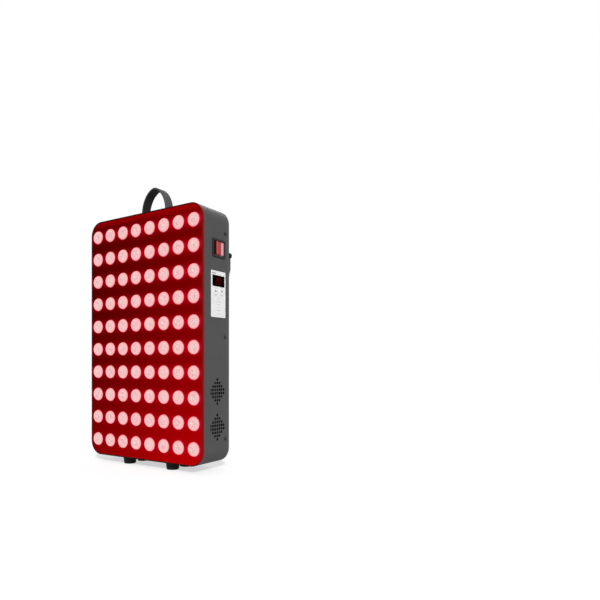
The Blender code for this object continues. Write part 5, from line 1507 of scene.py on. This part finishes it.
# Carry handle. A moulded rubber strap over a spring strip, arched by its short span and ribbed along its
# outer face. Its flat ends lie in two black caps, each screwed down into the top of the case.
STRAP_HALF = 0.00825
STRAP_THICKNESS = 0.003
STRAP_EDGE = 0.0006
STRAP_RIBS = 9
RIB_STEPS = 8
RIB_HEIGHT = 0.00030
RIB_MARGIN = 0.0005
ARCH_HALF_WIDTH = 0.0262
ARCH_HEIGHT = 0.0445
ARCH_POWER = 1.15
ARCH_STEPS = 48
KNEE_RADIUS = 0.005
KNEE_STEPS = 8
CAP_ENDS = (0.034, 0.076)
CAP_HALF_WIDTH = 0.01075
CAP_CORNER = 0.0035
CAP_FOOT = 0.0004
CAP_ROUNDING = 0.0025
CAP_END_WALL = 0.003
CAP_HOLE = 0.0024
CHANNEL_HEIGHT = 0.0036
OVERRUN = 0.002
# Where the painted shade under the arch starts and which faces take it.
INSIDE_EYE = 0.3
INSIDE_START = 0.006
INSIDE_FACING = -0.002
HANDLE_SCREW = (0.0038, 0.0022, 0.002)

handle_top = case_high.z
cap_low, cap_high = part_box("handle_cap_right")
handle_y = (cap_low.y + cap_high.y) / 2


def arch_path():
    """The strap's middle line, across and up from the top of the case."""
    level = FIT + STRAP_THICKNESS / 2
    half = ARCH_HALF_WIDTH - STRAP_THICKNESS / 2
    top = ARCH_HEIGHT - STRAP_THICKNESS / 2
    spring = level + KNEE_RADIUS
    end = CAP_ENDS[1] - CAP_END_WALL - FIT
    turns = [(i / KNEE_STEPS - 1) * QUARTER for i in range(KNEE_STEPS + 1)]
    knee = [
        (KNEE_RADIUS * math.cos(t) - half - KNEE_RADIUS, spring + KNEE_RADIUS * math.sin(t)) for t in turns
    ]
    arch = []
    for i in range(1, ARCH_STEPS):
        turn = math.pi * i / ARCH_STEPS
        across = -math.copysign(abs(math.cos(turn)) ** ARCH_POWER, math.cos(turn))
        arch.append((half * across, spring + (top - spring) * math.sin(turn)))
    return [(-end, level)] + knee + arch + [(-x, z) for x, z in reversed(knee)] + [(end, level)]


def ribbed_outline():
    """The strap's section, with its outer face down: fine ribs between two plain margins."""
    half, flat = STRAP_THICKNESS / 2, STRAP_HALF - STRAP_EDGE
    count = STRAP_RIBS * RIB_STEPS
    outer = []
    for i in range(count + 1):
        x = -flat + RIB_MARGIN + i * (2 * flat - 2 * RIB_MARGIN) / count
        outer.append((x, RIB_HEIGHT * (0.5 + 0.5 * math.cos(i * 2 * math.pi / RIB_STEPS)) - half))
    low, high = STRAP_EDGE - half, half - STRAP_EDGE
    return outer + [
        (flat, -half), (STRAP_HALF, low), (STRAP_HALF, high), (flat, half), (-flat, half),
        (-STRAP_HALF, high), (-STRAP_HALF, low), (-flat, -half),
    ]


def swept_strap_tree():
    """A section carried along a path, with closed ends."""
    tree, sizes = geometry_tree("swept_strap", Section="Object")
    path = reading(tree, "GeometryNodeMeshToCurve", {"Mesh": sizes["Geometry"]})
    outline = reading(tree, "GeometryNodeMeshToCurve", {"Mesh": shape_of(sizes["Section"])})
    inputs = {"Curve": path, "Profile Curve": outline, "Fill Caps": True}
    return close_tree(tree, sizes, reading(tree, "GeometryNodeCurveToMesh", inputs))


strap_black = material(
    "strap_rubber", (0.060, 0.060, 0.062), roughness=0.60, grain=0.0005, relief=0.00006,
    Specular_IOR_Level=0.25,
)
# Painted shade: a darker copy of the strap's rubber for the faces under the arch, which face away from the
# light.
strap_inside = material(
    "strap_inside", (0.012, 0.012, 0.013), roughness=0.70, grain=0.0005, relief=0.00005,
    Specular_IOR_Level=0.2,
)
outline = [(x, y, 0) for x, y in ribbed_outline()]
path = [(x, 0, z) for x, z in arch_path()]
section_line = drawn("section", outline, [(i, (i + 1) % len(outline)) for i in range(len(outline))])
path_line = drawn("strap_path", path, [(i, i + 1) for i in range(len(path) - 1)])
strap = sealed(grown(
    "carry_strap", swept_strap_tree(), Matrix.Translation((0, handle_y, handle_top)), path_line,
    Section=section_line, Material=strap_black,
))
discarded(section_line)
strap.data.materials.clear()
strap.data.materials.append(strap_black)
strap.data.materials.append(strap_inside)
arch_middle = Vector((0, handle_y, handle_top + ARCH_HEIGHT * INSIDE_EYE))
# The faces under the arch take the darker copy of the rubber, as painted shade.
for face in strap.data.polygons:
    faces_in = face.normal.dot(face.center - arch_middle) < INSIDE_FACING
    face.material_index = int(face.center.z > handle_top + INSIDE_START and faces_in)
finished(strap, None, nodes=["handle_strap"])
cap_black = material("cap_moulding", (0.020, 0.020, 0.021), roughness=0.45, grain=0.0005, relief=0.00005)
cap_height = cap_high.z - cap_low.z
cap_half = (CAP_ENDS[1] - CAP_ENDS[0]) / 2
cap_stations = [(CAP_FOOT, 0), (0, CAP_FOOT)]
cap_stations += [(inset, cap_height - drop) for inset, drop in quarter(CAP_ROUNDING)]
channel_size = (2 * cap_half - CAP_END_WALL + OVERRUN, 2 * (STRAP_HALF + FIT), CHANNEL_HEIGHT + OVERRUN)
for side, sign in SIDES:
    middle_x = sign * sum(CAP_ENDS) / 2
    cap_place = aimed("up", (middle_x, handle_y, cap_low.z))
    cap = skin(f"cap_{side}", (cap_half, CAP_HALF_WIDTH), CAP_CORNER, cap_stations, cap_place, steps=8)
    channel_x = middle_x - sign * (CAP_END_WALL + OVERRUN) / 2
    channel = block(channel_size, (channel_x, handle_y, handle_top + CHANNEL_HEIGHT / 2 - OVERRUN / 2))
    hole = repeated("hole", drill(CAP_HOLE, 4 * cap_height), "up", [(middle_x, handle_y, cap_high.z)])
    finished(cut(cap, channel, hole), cap_black, nodes=[f"handle_cap_{side}"])
zinc = material("zinc_plated_steel", (0.55, 0.55, 0.54), roughness=0.30, Metallic=1.0)
pan_screws(
    "handle_screws", ["handle_screw_right", "handle_screw_left"], "up", HANDLE_SCREW,
    size_of("handle_screw_left")[2] - HANDLE_SCREW[1], zinc,
)

# Feet. Four black rubber feet under the case, each held by a screw whose head is sunk in the foot's well. The
# rubber is slightly rough and its rim is rounded where it meets the table.
FOOT_TOP = 0.0105
FOOT_TOP_EDGE = 0.0005
FOOT_BOTTOM = 0.0092
FOOT_BORE = 0.0026
FOOT_RIM = 0.0011
FOOT_SIDES = 48
WELL_RADIUS = 0.0045
WELL_EDGE = 0.0004
WELL_DEPTH = 0.006
FOOT_SCREW = (0.0036, 0.0022, 0.002)

rubber = material(
    "black_rubber", (0.007, 0.007, 0.007), roughness=0.75, relief=0.00008, Specular_IOR_Level=0.15
)
foot_low, foot_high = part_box("foot_front_right")
foot_height = foot_high.z - foot_low.z
foot_profile = [(FOOT_BORE, 0), (FOOT_TOP - FOOT_TOP_EDGE, 0), (FOOT_TOP, FOOT_TOP_EDGE)] + [
    (FOOT_BOTTOM - inset, foot_height - drop) for inset, drop in quarter(FOOT_RIM, steps=3)
] + [
    (WELL_RADIUS + WELL_EDGE, foot_height), (WELL_RADIUS, foot_height - WELL_EDGE),
    (WELL_RADIUS, foot_height - WELL_DEPTH), (FOOT_BORE, foot_height - WELL_DEPTH),
]
names = [f"foot_{place}" for place in FOOT_PLACES]
spots = [face_centre(name, "down") for name in names]
for spot in spots:
    spot.z = foot_high.z
feet = repeated("rubber_feet", lathed("foot", foot_profile, FOOT_SIDES), "down", spots, rubber)
finished(feet, None, nodes=names)
pan_screws(
    "foot_screws", [f"foot_screw_{place}" for place in FOOT_PLACES], "down", FOOT_SCREW,
    size_of("foot_screw_front_right")[2] - FOOT_SCREW[1], zinc,
)

# Hanger lugs. Two bent ears of the cover's sheet, welded to its back near each side, with a rubber bumper
# above each that keeps the panel off a wall. They are coated with the cover.
LUG_THICKNESS = 0.0025
LUG_TAPER = 0.010
LUG_LEG_WIDTH = 0.018
LUG_LEG_SINK = 0.0002
LUG_ROUNDING = 0.0012
LUG_EDGE = 0.0003
BUMPER_RADIUS = 0.0045
BUMPER_ROUNDING = 0.0010
BUMPER_SIDES = 40

for side, sign in SIDES:
    low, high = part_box(f"hanger_lug_{side}")
    outer = high.x if sign > 0 else low.x
    outline = [
        (low.y, low.z), (high.y, low.z + LUG_TAPER), (high.y, high.z - LUG_ROUNDING),
        (high.y - LUG_ROUNDING, high.z), (low.y, high.z),
    ]
    walls = [outer - sign * level for level in (0, LUG_THICKNESS)]
    ear = lofted("ear", [[(x, y, z) for y, z in outline] for x in walls])
    leg_x = outer - sign * (LUG_LEG_WIDTH / 2 + LUG_LEG_SINK)
    leg = block(
        (LUG_LEG_WIDTH, COVER_WALL, high.z - low.z), (leg_x, low.y + COVER_WALL / 2, (low.z + high.z) / 2)
    )
    lug = bevelled(fused(ear, leg), LUG_EDGE)
    lug.name = f"lug_{side}"
    finished(lug, cover_grey, nodes=[f"hanger_lug_{side}"])
    low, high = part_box(f"bumper_{side}")
    length = high.y - low.y
    profile = [(0, length)] + [
        (BUMPER_RADIUS - inset, length - drop) for inset, drop in reversed(quarter(BUMPER_ROUNDING, steps=3))
    ] + [(BUMPER_RADIUS, 0), (0, 0)]
    seat = aimed("back", ((low.x + high.x) / 2, low.y, (low.z + high.z) / 2))
    bumper = lathed(f"rubber_bumper_{side}", profile, BUMPER_SIDES, seat)
    finished(bumper, rubber, nodes=[f"bumper_{side}"])

# Studio. A pale floor and a white surround under plain soft light, and the camera where the photographer's
# stood: low in front of the right side, level, with its frame shifted up and to the right of the panel.
CAMERA_PLACE = (0.596, -0.6191, 0.1560)
CAMERA_TURN = math.radians(33.8)
CAMERA_SENSOR = 36
CAMERA_LENS = 32.34
CAMERA_SHIFT = (0.075, 0.1077)
FLOOR_SIZE = 8.0
FLOOR_GREY = (0.60, 0.60, 0.60)
FLOOR_LIFT = 0.48
WHITE = (1, 1, 1)
SURROUND_LIGHT = 0.36
SUN_DROP = 60
SUNS = (("softbox", 2.5, 7, 43.9, True), ("rear_fill", 1.1, 30, 200, False))

camera = linked("camera", bpy.data.cameras.new("camera"))
camera.data.sensor_width = CAMERA_SENSOR
camera.data.lens = CAMERA_LENS
camera.data.shift_x, camera.data.shift_y = CAMERA_SHIFT
camera.location = CAMERA_PLACE
camera.rotation_euler = (QUARTER, 0, CAMERA_TURN)
bpy.context.scene.camera = camera
bpy.context.scene.view_settings.view_transform = "Standard"


def seen_directly(tree):
    """1 for rays from the camera, from a gloss or through a clear piece, which see the plain backdrop."""
    rays = readings(node(tree, "ShaderNodeLightPath"))
    gloss = maths("MAXIMUM", rays["Is Glossy Ray"], rays["Is Transmission Ray"])
    return maths("MAXIMUM", rays["Is Camera Ray"], gloss)


build = bmesh.new()
bmesh.ops.create_grid(build, x_segments=1, y_segments=1, size=FLOOR_SIZE / 2)
floor = new_piece("floor", build)
pale = bpy.data.materials.new("pale_floor")
world = bpy.data.worlds.new("white_surround")
for owner in (pale, world):
    owner.use_nodes = True
    owner.node_tree.nodes.clear()
tree = pale.node_tree
matt = reading(tree, "ShaderNodeBsdfDiffuse", {"Color": FLOOR_GREY})
white = reading(tree, "ShaderNodeEmission", {"Color": WHITE, "Strength": seen_directly(tree) * FLOOR_LIFT})
both = reading(tree, "ShaderNodeAddShader", {0: matt, 1: white})
node(tree, "ShaderNodeOutputMaterial", {"Surface": both})
floor.data.materials.append(pale)
floor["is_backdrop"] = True
tree = world.node_tree
soft = reading(tree, "ShaderNodeBackground", {"Color": WHITE, "Strength": SURROUND_LIGHT})
plain = reading(tree, "ShaderNodeBackground", {"Color": WHITE, "Strength": 1.0})
both = reading(tree, "ShaderNodeMixShader", {0: seen_directly(tree), 1: soft, 2: plain})
node(tree, "ShaderNodeOutputWorld", {"Surface": both})
bpy.context.scene.world = world
for name, energy, spread, turn, shadow in SUNS:
    sun = linked(name, bpy.data.lights.new(name, "SUN"))
    sun.data.energy = energy
    sun.data.angle = math.radians(spread)
    sun.data.use_shadow = shadow
    sun.rotation_euler = (math.radians(SUN_DROP), 0, math.radians(turn))

low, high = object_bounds()
